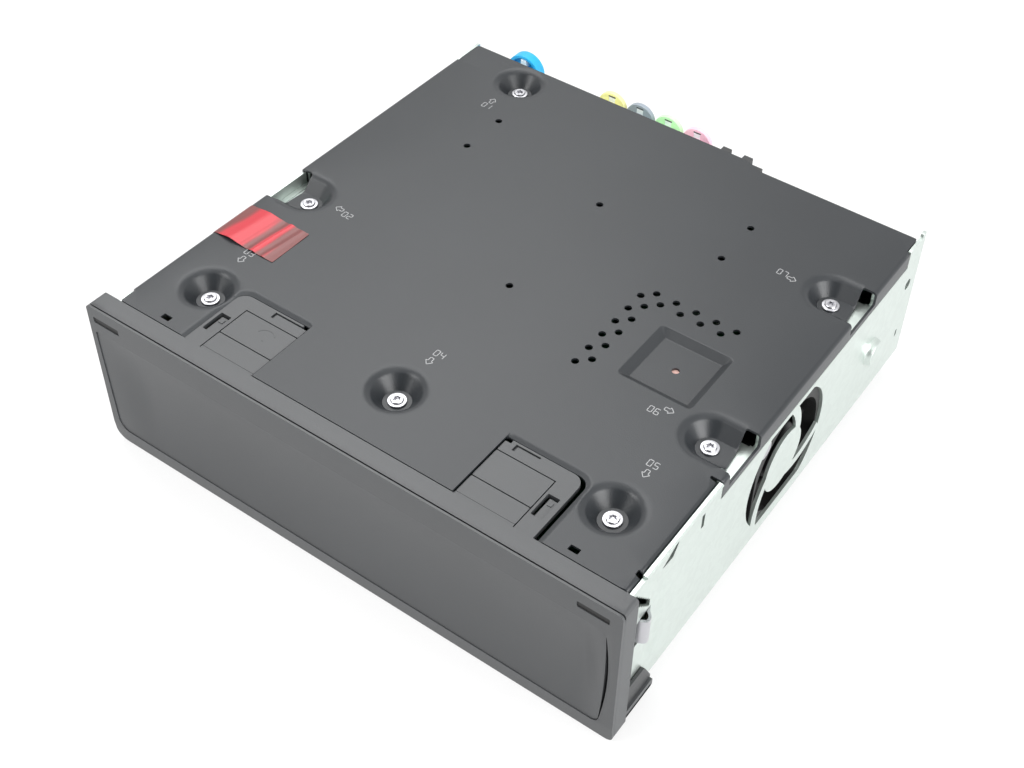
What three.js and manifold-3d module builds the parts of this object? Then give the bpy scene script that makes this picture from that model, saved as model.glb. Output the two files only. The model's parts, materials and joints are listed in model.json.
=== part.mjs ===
// Car head unit with a plain scooped front, in millimetres. X runs across it, Y to the rear, Z up.
// Pieces are laid out from the front frame's top left front corner, and heights count down from zero.
// The group is then shifted so that its origin lies under the middle of the whole unit.
import * as THREE from "three";
import { mergeVertices } from "three/addons/utils/BufferGeometryUtils.js";
import Module from "manifold-3d";

const wasm = await Module();
wasm.setup();

// Driving dimensions
const gap = 0.3;
const overrun = 2;
const roundSegments = 16;
const smallSegments = 8;
const mergeTolerance = 1e-4;

const panel = {
  width: 188,
  height: 57.5,
  thickness: 7.1,
  cornerRadius: 1.6,
  bottomCornerRadius: 5,
  topBand: 9.4,
  bottomLip: 5.5,
  sideRail: 3,
  sideBulge: 1.4,
  pocketDepth: 5.1,
  keySlotWidth: 10.2,
  keySlotHeight: 1.9,
  keySlotInset: 8.1,
  keySlotDrop: 4.6,
};

const insert = { edgeStep: 0.3, scoopDepth: 3, cornerRadius: 2.5, curveSteps: 12 };

const tongue = {
  width: 26.4,
  length: 24.4,
  inset: 31.7,
  thickness: 1.8,
  drop: 0.5,
  cornerRadius: 3.5,
  grooveWidth: 0.5,
  grooveDepth: 0.6,
  padWidth: 19.4,
  padFront: 6.5,
  padLength: 11.6,
  windowWidth: 2.8,
  windowLength: 7.6,
  windowInset: 2.4,
  windowFront: 6,
  slitWidth: 9.5,
  slitLength: 1.1,
  slitBack: 2,
  slitInset: 15,
  notch: 2,
};

const foot = { height: 15, length: 11, topLength: 3, thickness: 1.2, reach: 16, drop: 1.2, heel: 3 };

const body = {
  sideReveal: 3.9,
  rightShift: 1.7,
  underReveal: 5,
  depth: 173,
  wall: 1,
  step: 2.8,
  stepShare: 0.654,
};

const stepRamp = 4;
const rimNotch = 1.5;
const troughInset = 4.2;
const wallTail = 1.4;

const cover = {
  sheet: 0.8,
  flangeDrop: 6.5,
  flagHeight: 1.2,
  flagLength: 2.4,
};

const flangeZone = { rightLead: 12.4, rightRear: 10, leftStart: 5.6, leftRear: 11.4 };

const dimple = { topRadius: 8.6, floorRadius: 6, depth: 5, screwHole: 1.5 };

const screw = {
  flangeRadius: 2.8,
  flangeHeight: 0.6,
  headRadius: 1.9,
  headHeight: 1.2,
  socketRadius: 1,
  socketDepth: 0.8,
  shankRadius: 1.25,
  shankLength: 5.6,
};

const thread = { radius: 1.45, depth: 8 };
const pillarRadius = 3.4;

// Places of the cover screws, as shares of the body's width and depth.
const pillarScrewShares = [
  [0.152, 0.941],
  [0.097, 0.1125],
  [0.492, 0.1165],
  [0.895, 0.118],
];
const edgeScrewShares = [
  { side: "left", xShare: 0.0577, yShare: 0.4095 },
  { side: "right", xShare: 0.9386, yShare: 0.332 },
  { side: "right", xShare: 0.939, yShare: 0.752 },
];
const tab = { reach: 8, halfWidth: 8, clearance: 1.2 };

const coverHole = { radius: 1.2 };
const coverHoleShares = [
  [0.195, 0.808],
  [0.195, 0.7045],
  [0.4895, 0.71],
  [0.74, 0.8225],
  [0.74, 0.716],
  [0.4895, 0.427],
];

const vent = { pitch: 7, stagger: 3.5, columnCount: 6, rowCount: 4, xShare: 0.679, yShare: 0.3425 };

const recess = { size: 24.4, floorSize: 20, depth: 2, hole: 1.2, xShare: 0.815, yShare: 0.433 };

const seal = { length: 25, width: 16.7, thickness: 0.15, foldDrop: 4, yShare: 0.272 };

const fan = {
  topRoom: 10,
  bottomRoom: 2.5,
  thickness: 10,
  rimWall: 1,
  holeInset: 4,
  yShare: 0.5196,
  baseRadius: 9,
  baseThickness: 1.5,
  strutWidth: 2.4,
  tubeRadius: 2.2,
  tubeLength: 4.6,
  hubRadius: 9.5,
  hubWall: 1,
  hubLength: 5.2,
  shaftRadius: 1,
  bearingClearance: 0.1,
  bladeClearance: 0.8,
  bladeChord: 5.6,
  bladeThickness: 0.8,
  bladePitch: 40,
  bladeCount: 7,
  faceInset: 2.4,
  screwHeadRadius: 3.1,
  screwHeadHeight: 1.3,
};

const grille = {
  margin: 4,
  hubMargin: 1.3,
  yShare: 0.504,
  rise: 2,
  hubShift: 1.2,
  flatTop: 9,
  flatRise: 6,
  armWidth: 3.4,
  armSweep: 82,
  armSteps: 10,
  armAngles: [95, -12, -126],
};

const fanBracket = { thickness: 1, footLength: 9, margin: 0.5 };

const boss = { radius: 4.6, height: 2, wall: 1, yShare: 0.841, drop: 30 };

const wallHole = { radius: 2, yShare: 0.97, drop: 17 };
const wallSlot = { length: 1.2, height: 3, yShare: 0.968, drop: 39 };
const lance = { length: 7, height: 4, start: 15.4, drop: 1.6 };
const thinSlot = { length: 0.9, height: 5.4, start: 35.3, drop: 4 };

const catchSpring = {
  sheet: 0.8,
  length: 22,
  height: 9.4,
  drop: 17.6,
  pinRadius: 0.8,
  curlWall: 0.8,
  pinClearance: 0.1,
  pinStart: 27,
  pinInset: 3.2,
  hookReach: 2.1,
  hookLength: 3,
  rampLength: 3.4,
  earThickness: 1,
  earLength: 5,
  openingStart: 3.4,
  openingLength: 8.4,
  openingTop: 4.4,
};

const board = { thickness: 1.6, leftInset: 4.4, fanClearance: 7.8, catchClearance: 1.4, rearInset: 4.2 };
const lowerBoardRise = 7.1;
const mainBoardDrop = 19.4;
const boardPillar = {
  baseRadius: 3,
  neckRadius: 1.7,
  boreRadius: 1.3,
  boreDepth: 8,
  insetX: 6,
  insetFront: 6,
};
const boardPillarBack = 30;
const boardScrew = { headRadius: 2.6, headHeight: 1.4, shankRadius: 1.15, shankLength: 6 };
const pillarClearance = 0.5;

const processor = { size: 18, height: 2.4 };
const sinkBlock = { size: 19, channel: 1.6, channelCount: 4, channelDepth: 6 };
const thermalPad = { size: 15, thickness: 1.5 };

// Places on the boards, as shares of a board's width and length.
const amplifierSink = {
  xShare: 0.077,
  yShare: 0.58,
  width: 44,
  length: 20,
  base: 5,
  finThickness: 1.6,
  finCount: 7,
  clearance: 3.4,
};
const amplifierChip = { width: 24, thickness: 4.5, shortfall: 6 };
const capacitor = { radius: 5, clearance: 8.4, xShare: 0.436, yShare: 0.812, pitch: 14, count: 2 };
const shieldRearInset = 17.9;
const tunerShield = { xShare: 0.27, width: 46, length: 30, height: 9 };
const modemShield = { xShare: 0.654, width: 34, length: 40, height: 7 };
const boardConnector = { xShare: 0.32, yShare: 0.174, width: 44, length: 6 };

const coax = {
  drop: 13.5,
  radius: 4.4,
  boreRadius: 3.4,
  discRadius: 5.8,
  wideDiscRadius: 7,
  discThickness: 1.4,
  reach: 14,
  boreDepth: 13,
  baseLength: 12,
  baseHalf: 4,
  baseTop: 4,
  contactRadius: 1.4,
  contactReach: 6,
  windowWidth: 2.2,
  windowHeight: 0.9,
  collarThickness: 1.2,
  collarStep: 1.2,
  pitch: 12,
  rowXShare: 0.291,
  blueXShare: 0.08,
};
const coaxRow = [
  { name: "yellow", colour: 0xe8b818 },
  { name: "grey", colour: 0x6e7176 },
  { name: "green", colour: 0x3fa045 },
  { name: "pink", colour: 0xe0567e },
];

const socket = {
  spacing: 17.9,
  width: 20,
  top: 9,
  wall: 1.6,
  reach: 10,
  cavityDepth: 14,
  backLength: 8,
  tabWidth: 3.4,
  tabHeight: 2.6,
  tabLength: 6,
  tabSpacing: 8.4,
  pinRadius: 0.6,
  pinLength: 7,
  pinColumns: 3,
  pinRows: 5,
  plateThickness: 1.5,
};

// Places worked out from the sizes above
const bodyWidth = panel.width - 2 * body.sideReveal;
const bodyHeight = panel.height - body.underReveal;
const bodyLeft = body.sideReveal + body.rightShift;
const bodyRight = bodyLeft + bodyWidth;
const bodyFront = panel.thickness;
const bodyRear = panel.thickness + body.depth;
const bodyFloor = -bodyHeight + body.wall;
const innerLeft = bodyLeft + body.wall;
const innerRight = bodyRight - body.wall;
const steppedRear = bodyRear - body.step;
const stepX = bodyLeft + bodyWidth * body.stepShare;
const coverUnder = -cover.sheet;
const dimpleUnder = -dimple.depth - cover.sheet;
const lowerBoardTop = bodyFloor + lowerBoardRise;
const lowerBoardUnder = lowerBoardTop - board.thickness;
const mainBoardTop = -mainBoardDrop;
const mainBoardUnder = mainBoardTop - board.thickness;
const boardSpace = mainBoardUnder - lowerBoardTop;
const fanSize = bodyHeight - fan.topRoom - fan.bottomRoom;
const fanDrop = fan.topRoom + fanSize / 2;
const fanBore = fanSize / 2 - fan.rimWall;
const bladeRadius = fanBore - fan.bladeClearance;
const grilleRadius = fanBore + grille.margin;
const grilleHub = fan.hubRadius + grille.hubMargin;
const grilleDrop = fanDrop - grille.rise;
const grilleFlatBottom = bodyHeight - grille.flatRise;
const boardLeft = bodyLeft + board.leftInset;
const boardRight = innerRight - fan.thickness - fanBracket.thickness - board.fanClearance;
const boardFront = bodyFront + catchSpring.pinStart + catchSpring.earLength / 2 + board.catchClearance;
const boardRear = bodyRear - board.rearInset;
const overallDepth = bodyRear + coax.reach;

const steel = { color: 0xd9ddda, roughness: 0.42, metalness: 0.75 };
const blackSteel = { color: 0x33363b, roughness: 0.62, metalness: 0.2 };
const blackPlastic = { color: 0x303338, roughness: 0.68, metalness: 0 };
const screwSteel = { color: 0xe6e6e6, roughness: 0.25, metalness: 0.9 };
const greenBoard = { color: 0x1f5a38, roughness: 0.55, metalness: 0 };
const aluminium = { color: 0xb4b7ba, roughness: 0.4, metalness: 0.85 };
const brass = { color: 0xc8a24a, roughness: 0.35, metalness: 0.9 };
const chipBlack = { color: 0x1b1c1e, roughness: 0.5, metalness: 0 };

const unit = new THREE.Group();
unit.position.set(-panel.width / 2, -overallDepth / 2, panel.height);

// Turns a shape's own axes into the unit's: the extrusion then runs along X, Y or Z.
const bases = {
  x: new THREE.Matrix4().makeBasis(
    new THREE.Vector3(0, 1, 0),
    new THREE.Vector3(0, 0, 1),
    new THREE.Vector3(1, 0, 0),
  ),
  y: new THREE.Matrix4().makeBasis(
    new THREE.Vector3(1, 0, 0),
    new THREE.Vector3(0, 0, 1),
    new THREE.Vector3(0, -1, 0),
  ),
  z: new THREE.Matrix4(),
};

function solidFrom(geometry) {
  const bare = geometry.index ? geometry.toNonIndexed() : geometry.clone();
  bare.deleteAttribute("normal");
  bare.deleteAttribute("uv");
  const merged = mergeVertices(bare, mergeTolerance);
  const vertProperties = new Float32Array(merged.attributes.position.array);
  const triVerts = new Uint32Array(merged.index.array);
  return new wasm.Manifold(new wasm.Mesh({ numProp: 3, vertProperties, triVerts }));
}

function geometryFrom(solid) {
  const mesh = solid.getMesh();
  const positions = new Float32Array(mesh.numVert * 3);
  for (let i = 0; i < mesh.numVert; i += 1) {
    const start = i * mesh.numProp;
    positions.set(mesh.vertProperties.subarray(start, start + 3), i * 3);
  }
  const geometry = new THREE.BufferGeometry();
  geometry.setAttribute("position", new THREE.BufferAttribute(positions, 3));
  geometry.setIndex(new THREE.BufferAttribute(new Uint32Array(mesh.triVerts), 1));
  const flat = geometry.toNonIndexed();
  flat.computeVertexNormals();
  return flat;
}

function addPiece(name, solid, look, parent = unit) {
  const mesh = new THREE.Mesh(geometryFrom(solid), new THREE.MeshStandardMaterial(look));
  mesh.name = name;
  parent.add(mesh);
  return mesh;
}

function block(x0, x1, y0, y1, z0, z1) {
  const geometry = new THREE.BoxGeometry(Math.abs(x1 - x0), Math.abs(y1 - y0), Math.abs(z1 - z0));
  geometry.translate((x0 + x1) / 2, (y0 + y1) / 2, (z0 + z1) / 2);
  return solidFrom(geometry);
}

function extruded(shape, axis, low, high, curveSegments = smallSegments) {
  const options = { depth: high - low, bevelEnabled: false, curveSegments };
  const geometry = new THREE.ExtrudeGeometry(shape, options);
  geometry.translate(0, 0, axis === "y" ? -high : low);
  geometry.applyMatrix4(bases[axis]);
  return solidFrom(geometry);
}

function outlineOf(points) {
  return new THREE.Shape(points.map(([a, b]) => new THREE.Vector2(a, b)));
}

// A round bar along an axis; a and b are its centre on the two other axes, in X, Y, Z order.
function rod(axis, radius, a, b, low, high, segments = roundSegments) {
  const outline = outlineOf(
    Array.from({ length: segments }, (_, i) => {
      const angle = (i / segments) * 2 * Math.PI;
      return [a + radius * Math.cos(angle), b + radius * Math.sin(angle)];
    }),
  );
  return extruded(outline, axis, low, high);
}

// A cone frustum that hangs from a top plane; four segments make a square one.
function cup(x, y, topRadius, floorRadius, top, floor, segments = roundSegments) {
  const geometry = new THREE.CylinderGeometry(topRadius, floorRadius, top - floor, segments);
  geometry.rotateX(Math.PI / 2);
  geometry.rotateZ(Math.PI / segments);
  geometry.translate(x, y, (top + floor) / 2);
  return solidFrom(geometry);
}

function roundedRectangle(x0, x1, y0, y1, radius, lowRadius = radius) {
  const shape = new THREE.Shape();
  shape.moveTo(x0 + lowRadius, y0);
  shape.lineTo(x1 - lowRadius, y0);
  shape.absarc(x1 - lowRadius, y0 + lowRadius, lowRadius, -Math.PI / 2, 0);
  shape.lineTo(x1, y1 - radius);
  shape.absarc(x1 - radius, y1 - radius, radius, 0, Math.PI / 2);
  shape.lineTo(x0 + radius, y1);
  shape.absarc(x0 + radius, y1 - radius, radius, Math.PI / 2, Math.PI);
  shape.lineTo(x0, y0 + lowRadius);
  shape.absarc(x0 + lowRadius, y0 + lowRadius, lowRadius, Math.PI, 1.5 * Math.PI);
  return shape;
}

function joined(solids) {
  return solids.reduce((whole, next) => whole.add(next));
}

function cutBy(solid, tools) {
  return tools.reduce((rest, tool) => rest.subtract(tool), solid);
}

function placeAt(xShare, yShare) {
  return { x: bodyLeft + bodyWidth * xShare, y: bodyFront + body.depth * yShare };
}

// The two side walls are mirror images: inward distance u from a wall's outer face gives x.
const sides = [
  { name: "left", at: (u) => bodyLeft + u, outward: -1 },
  { name: "right", at: (u) => bodyRight - u, outward: 1 },
];

const edgeScrews = edgeScrewShares.map(({ side, xShare, yShare }) => ({
  side: sides.find(({ name }) => name === side),
  ...placeAt(xShare, yShare),
}));
const pillarScrews = pillarScrewShares.map(([xShare, yShare]) => placeAt(xShare, yShare));

// Front frame: a band with two key slots, side rails, a bottom lip, and a pocket for the insert.
const pocketTop = -panel.topBand;
const pocketBottom = -panel.height + panel.bottomLip;
const pocketMiddle = (pocketTop + pocketBottom) / 2;

function pocketOutline() {
  const left = panel.sideRail;
  const right = panel.width - panel.sideRail;
  const shape = new THREE.Shape();
  shape.moveTo(left, pocketBottom);
  shape.lineTo(right, pocketBottom);
  shape.quadraticCurveTo(right + 2 * panel.sideBulge, pocketMiddle, right, pocketTop);
  shape.lineTo(left, pocketTop);
  shape.quadraticCurveTo(left - 2 * panel.sideBulge, pocketMiddle, left, pocketBottom);
  return shape;
}

function tongueSolids(start, outerSide) {
  const end = start + tongue.width;
  const top = -tongue.drop;
  const under = top - tongue.thickness;
  const front = panel.thickness;
  const back = front + tongue.length;
  const outer = outerSide === "left" ? start : end;
  const inward = outerSide === "left" ? 1 : -1;
  const span = (from, to) => [Math.min(from, to), Math.max(from, to)];
  const outline = new THREE.Shape();
  const corner = outer + inward * tongue.cornerRadius;
  const inner = outer + inward * tongue.width;
  outline.moveTo(outer, front - overrun);
  outline.lineTo(outer, back - tongue.cornerRadius);
  outline.quadraticCurveTo(outer, back, corner, back);
  outline.lineTo(inner, back);
  outline.lineTo(inner, front - overrun);
  const plate = extruded(outline, "z", under, top);
  const [padLow, padHigh] = span(inner, inner - inward * tongue.padWidth);
  const padFront = front + tongue.padFront;
  const padBack = padFront + tongue.padLength;
  const grooveFloor = top - tongue.grooveDepth;
  const half = tongue.grooveWidth / 2;
  const grooves = block(
    padLow - half,
    padHigh + half,
    padFront - half,
    padBack + half,
    grooveFloor,
    overrun,
  );
  const island = block(
    padLow + half,
    padHigh - half,
    padFront + half,
    padBack - half,
    grooveFloor - overrun,
    top,
  );
  const windowOuter = outer + inward * tongue.windowInset;
  const [windowLow, windowHigh] = span(windowOuter, windowOuter + inward * tongue.windowWidth);
  const windowFront = front + tongue.windowFront;
  const window = block(
    windowLow,
    windowHigh,
    windowFront,
    windowFront + tongue.windowLength,
    under - overrun,
    overrun,
  );
  const slitOuter = outer + inward * tongue.slitInset;
  const [slitLow, slitHigh] = span(slitOuter, slitOuter + inward * tongue.slitWidth);
  const slitBack = back - tongue.slitBack;
  const slit = block(slitLow, slitHigh, slitBack - tongue.slitLength, slitBack, under - overrun, overrun);
  const [notchLow, notchHigh] = span(inner + inward * overrun, inner - inward * tongue.notch);
  const notch = block(notchLow, notchHigh, back - tongue.notch, back + overrun, under - overrun, overrun);
  return cutBy(plate, [grooves.subtract(island), window, slit, notch]);
}

function footSolid(side) {
  const front = panel.thickness;
  const top = -bodyHeight + foot.height;
  const under = -bodyHeight - gap - foot.drop;
  const heelTop = -bodyHeight + foot.heel;
  const inner = side.at(-gap);
  const outer = side.at(-gap - foot.thickness);
  const low = Math.min(inner, outer);
  const high = Math.max(inner, outer);
  const gusset = outlineOf([
    [front - overrun, top],
    [front + foot.topLength, top],
    [front + foot.length, heelTop],
    [front + foot.length, under],
    [front - overrun, under],
  ]);
  const reach = side.at(foot.reach);
  const shelfTop = -bodyHeight - gap;
  return extruded(gusset, "x", low, high).add(
    block(
      Math.min(reach, outer),
      Math.max(reach, outer),
      front - overrun,
      front + foot.length,
      under,
      shelfTop,
    ),
  );
}

function frontFrame() {
  const plate = extruded(
    roundedRectangle(0, panel.width, -panel.height, 0, panel.cornerRadius, panel.bottomCornerRadius),
    "y",
    0,
    panel.thickness,
  );
  const pocket = extruded(pocketOutline(), "y", -overrun, panel.pocketDepth, roundSegments);
  const slotHalf = panel.keySlotWidth / 2;
  const slotTop = -panel.keySlotDrop + panel.keySlotHeight / 2;
  const slots = [panel.keySlotInset, panel.width - panel.keySlotInset].map((x) =>
    block(
      x - slotHalf,
      x + slotHalf,
      -overrun,
      panel.thickness + overrun,
      slotTop - panel.keySlotHeight,
      slotTop,
    ),
  );
  const leftTongue = tongueSolids(tongue.inset, "left");
  const rightTongue = tongueSolids(panel.width - tongue.inset - tongue.width, "right");
  const whole = joined([plate, leftTongue, rightTongue, ...sides.map(footSolid)]);
  return cutBy(whole, [pocket, ...slots]);
}

function fasciaInsert() {
  const top = pocketTop - gap;
  const bottom = pocketBottom + gap;
  const middle = (top + bottom) / 2;
  const half = (top - bottom) / 2;
  const front = Array.from({ length: insert.curveSteps + 1 }, (_, i) => {
    const share = (2 * i) / insert.curveSteps - 1;
    return [insert.edgeStep + insert.scoopDepth * (1 - share * share), middle + half * share];
  });
  const profile = outlineOf([[panel.pocketDepth, bottom], ...front, [panel.pocketDepth, top]]);
  const left = panel.sideRail + gap;
  const right = panel.width - panel.sideRail - gap;
  const scooped = extruded(profile, "x", left, right);
  const face = roundedRectangle(left, right, bottom, top, insert.cornerRadius);
  return scooped.intersect(extruded(face, "y", -overrun, panel.pocketDepth + overrun));
}

// Chassis tray: floor and side walls of folded sheet, with joggled rims under the cover's flanges.
function rearOutline(left, right, front, inset) {
  const ramp = stepRamp / 2;
  return outlineOf([
    [left, front],
    [right, front],
    [right, steppedRear - inset],
    [stepX + ramp, steppedRear - inset],
    [stepX - ramp, bodyRear - inset],
    [left, bodyRear - inset],
  ]);
}

function flangeSpan(side) {
  if (side.name === "left") {
    return { start: bodyFront + flangeZone.leftStart, end: bodyRear - flangeZone.leftRear };
  }
  const firstScrew = edgeScrews.find((place) => place.side === side);
  return { start: firstScrew.y - flangeZone.rightLead, end: bodyRear - flangeZone.rightRear };
}

function across(side, u0, u1, y0, y1, z0, z1) {
  return block(side.at(u0), side.at(u1), y0, y1, z0, z1);
}

function sideWall(side) {
  const rim = flangeSpan(side);
  const wallRear = bodyRear + wallTail;
  const rimUnder = -cover.flangeDrop - gap - body.wall;
  const rimOuter = cover.sheet + gap;
  const rimInner = rimOuter + body.wall;
  let wall = across(side, 0, body.wall, bodyFront, wallRear, -bodyHeight, 0);
  wall = wall.subtract(across(
    side,
    -overrun,
    body.wall + overrun,
    rim.start,
    rim.end,
    rimUnder + body.wall,
    overrun,
  ));
  const step = across(side, 0, rimInner, rim.start, rim.end, rimUnder, rimUnder + body.wall);
  const rimStrip = across(side, rimOuter, rimInner, rim.start, rim.end, rimUnder, coverUnder);
  wall = joined([wall, step, rimStrip]);
  edgeScrews
    .filter((place) => place.side === side)
    .forEach(({ x, y }) => {
      const clear = dimple.topRadius + tab.clearance;
      const tabEnd = Math.abs(side.at(0) - x) + tab.reach;
      wall = wall.subtract(across(
        side,
        -overrun,
        rimInner + overrun,
        y - clear,
        y + clear,
        dimpleUnder,
        overrun,
      ));
      wall = wall.add(
        across(
          side,
          rimOuter,
          tabEnd,
          y - tab.halfWidth,
          y + tab.halfWidth,
          dimpleUnder - body.wall,
          dimpleUnder,
        ),
      );
      wall = wall.subtract(rod(
        "z",
        thread.radius,
        x,
        y,
        dimpleUnder - body.wall - overrun,
        dimpleUnder + overrun,
      ));
    });
  return wall;
}

function armOutline(y, z, endAngle) {
  const sweep = THREE.MathUtils.degToRad(grille.armSweep);
  const end = THREE.MathUtils.degToRad(endAngle);
  const half = grille.armWidth / 2;
  const inner = grilleHub - grille.armWidth;
  const outer = grilleRadius + overrun;
  const centreLine = Array.from({ length: grille.armSteps + 1 }, (_, i) => {
    const share = i / grille.armSteps;
    const radius = inner + (outer - inner) * share * share;
    const angle = end - sweep * (1 - share);
    return new THREE.Vector2(y + radius * Math.cos(angle), z + radius * Math.sin(angle));
  });
  const sidePoints = (sign) =>
    centreLine.map((point, i) => {
      const before = centreLine[Math.max(i - 1, 0)];
      const after = centreLine[Math.min(i + 1, grille.armSteps)];
      const along = after.clone().sub(before).normalize();
      return [point.x - sign * half * along.y, point.y + sign * half * along.x];
    });
  return outlineOf([...sidePoints(1), ...sidePoints(-1).reverse()]);
}

function fanWindow() {
  const { y } = placeAt(0, grille.yShare);
  const z = -grilleDrop;
  const low = innerRight - overrun;
  const high = bodyRight + overrun;
  const disc = rod("x", grilleRadius, y, z, low, high, 2 * roundSegments);
  const band = block(
    low,
    high,
    y - grilleRadius - overrun,
    y + grilleRadius + overrun,
    -grilleFlatBottom,
    -grille.flatTop,
  );
  const hubY = y - grille.hubShift;
  const hub = rod("x", grilleHub, hubY, z, low, high, 2 * roundSegments);
  const arms = grille.armAngles.map((angle) => extruded(armOutline(hubY, z, angle), "x", low, high));
  return cutBy(disc.intersect(band), [hub, ...arms]);
}

function sideBoss(side) {
  const { y } = placeAt(0, boss.yShare);
  const outer = side.at(-boss.height);
  const inner = side.at(body.wall);
  const low = Math.min(outer, inner);
  const high = Math.max(outer, inner);
  const hollowEnd = side.at(-boss.height + boss.wall);
  const hollowStart = side.at(body.wall + overrun);
  const shell = rod("x", boss.radius, y, -boss.drop, low, high);
  const hollow = rod(
    "x",
    boss.radius - boss.wall,
    y,
    -boss.drop,
    Math.min(hollowEnd, hollowStart),
    Math.max(hollowEnd, hollowStart),
  );
  return { shell, hollow };
}

function catchEars(side) {
  const y = bodyFront + catchSpring.pinStart;
  const half = catchSpring.earLength / 2;
  const reach = catchSpring.pinInset + half;
  const top = -catchSpring.drop + gap;
  const under = -catchSpring.drop - catchSpring.height - gap;
  const upper = across(side, 0, reach, y - half, y + half, top, top + catchSpring.earThickness);
  const lower = across(side, 0, reach, y - half, y + half, under - catchSpring.earThickness, under);
  const bore = rod(
    "z",
    catchSpring.pinRadius,
    side.at(catchSpring.pinInset),
    y,
    under - catchSpring.earThickness - overrun,
    top + catchSpring.earThickness + overrun,
    smallSegments,
  );
  return { ears: upper.add(lower), bore };
}

function chassisTray() {
  const floor = extruded(rearOutline(bodyLeft, bodyRight, bodyFront, 0), "z", -bodyHeight, bodyFloor);
  const flag = across(
    sides[1],
    0,
    body.wall,
    bodyRear + wallTail - cover.flagLength,
    bodyRear + wallTail,
    -cover.sheet,
    cover.flagHeight,
  );
  let tray = joined([floor, ...sides.map(sideWall), flag]);
  sides.forEach((side) => {
    const { shell, hollow } = sideBoss(side);
    const { ears, bore } = catchEars(side);
    tray = tray.add(shell).subtract(hollow).add(ears).subtract(bore);
    const openingFront = bodyFront + catchSpring.openingStart;
    const openingUnder = -catchSpring.drop - catchSpring.height - 2 * gap;
    const through = (y0, y1, z0, z1) => across(side, -overrun, body.wall + overrun, y0, y1, z0, z1);
    const opening = through(
      openingFront,
      openingFront + catchSpring.openingLength,
      openingUnder,
      -catchSpring.openingTop,
    );
    const holeY = placeAt(0, wallHole.yShare).y;
    const slotY = placeAt(0, wallSlot.yShare).y;
    const hole = rod(
      "x",
      wallHole.radius,
      holeY,
      -wallHole.drop,
      Math.min(side.at(-overrun), side.at(body.wall + overrun)),
      Math.max(side.at(-overrun), side.at(body.wall + overrun)),
    );
    const slot = through(
      slotY,
      slotY + wallSlot.length,
      -wallSlot.drop - wallSlot.height / 2,
      -wallSlot.drop + wallSlot.height / 2,
    );
    const lanceFront = bodyFront + lance.start;
    const lanceCut = through(
      lanceFront,
      lanceFront + lance.length,
      -lance.drop - lance.height,
      -lance.drop,
    );
    const thinFront = bodyFront + thinSlot.start;
    const thinCut = through(
      thinFront,
      thinFront + thinSlot.length,
      -thinSlot.drop - thinSlot.height,
      -thinSlot.drop,
    );
    tray = cutBy(tray, [opening, hole, slot, lanceCut, thinCut]);
  });
  return tray.subtract(fanWindow());
}

// Rear panel: a stepped sheet between the side walls, pierced for the sockets.
const coaxRowStart = placeAt(coax.rowXShare, 0).x;
const coaxSockets = [
  { name: "blue", colour: 0x1c8fd6, x: placeAt(coax.blueXShare, 0).x, discRadius: coax.wideDiscRadius },
  ...coaxRow.map((place, i) => ({
    ...place,
    x: coaxRowStart + i * coax.pitch,
    discRadius: coax.discRadius,
  })),
];
const socketLeft = coaxSockets.at(-1).x + socket.spacing - socket.width / 2;
const socketRight = socketLeft + socket.width;
const socketTop = -socket.top;

function rearPanel() {
  const outer = rearOutline(innerLeft, innerRight, bodyFront, 0);
  const inner = rearOutline(innerLeft - overrun, innerRight + overrun, bodyFront - overrun, body.wall);
  const sheet = extruded(
    outer,
    "z",
    bodyFloor,
    coverUnder,
  ).subtract(extruded(inner, "z", bodyFloor - overrun, overrun));
  const low = steppedRear - body.wall - overrun;
  const high = bodyRear + overrun;
  const holes = coaxSockets.map(({ x }) => rod("y", coax.radius + gap, x, -coax.drop, low, high));
  const cutout = block(
    socketLeft - gap,
    socketRight + gap,
    low,
    high,
    lowerBoardTop - gap,
    socketTop + gap,
  );
  return cutBy(sheet, [...holes, cutout]);
}

// Top cover: flat sheet with side flanges, pressed screw dimples, a pressed square recess and vents.
function coverOutline() {
  const left = bodyLeft;
  const right = bodyRight;
  const shy = body.wall + gap;
  const front = bodyFront + gap;
  const leftRim = flangeSpan(sides[0]);
  const rightRim = flangeSpan(sides[1]);
  const ramp = stepRamp / 2;
  return outlineOf([
    [left + shy, front],
    [right - shy, front],
    [right - shy, rightRim.start + gap],
    [right, rightRim.start + gap],
    [right, rightRim.end - gap],
    [right - shy, rightRim.end - gap],
    [right - shy, steppedRear],
    [stepX + ramp, steppedRear],
    [stepX - ramp, bodyRear],
    [left + shy, bodyRear],
    [left + shy, leftRim.end - gap],
    [left, leftRim.end - gap],
    [left, leftRim.start + gap],
    [left + shy, leftRim.start + gap],
  ]);
}

// A trapezoid trough that runs from a dimple out past the cover's edge.
function trough(place, topHalf, floorHalf, top, floor, outerEnd) {
  const profile = outlineOf([
    [place.y - topHalf, top],
    [place.y - floorHalf, floor],
    [place.y + floorHalf, floor],
    [place.y + topHalf, top],
  ]);
  return extruded(profile, "x", Math.min(place.x, outerEnd), Math.max(place.x, outerEnd));
}

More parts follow.
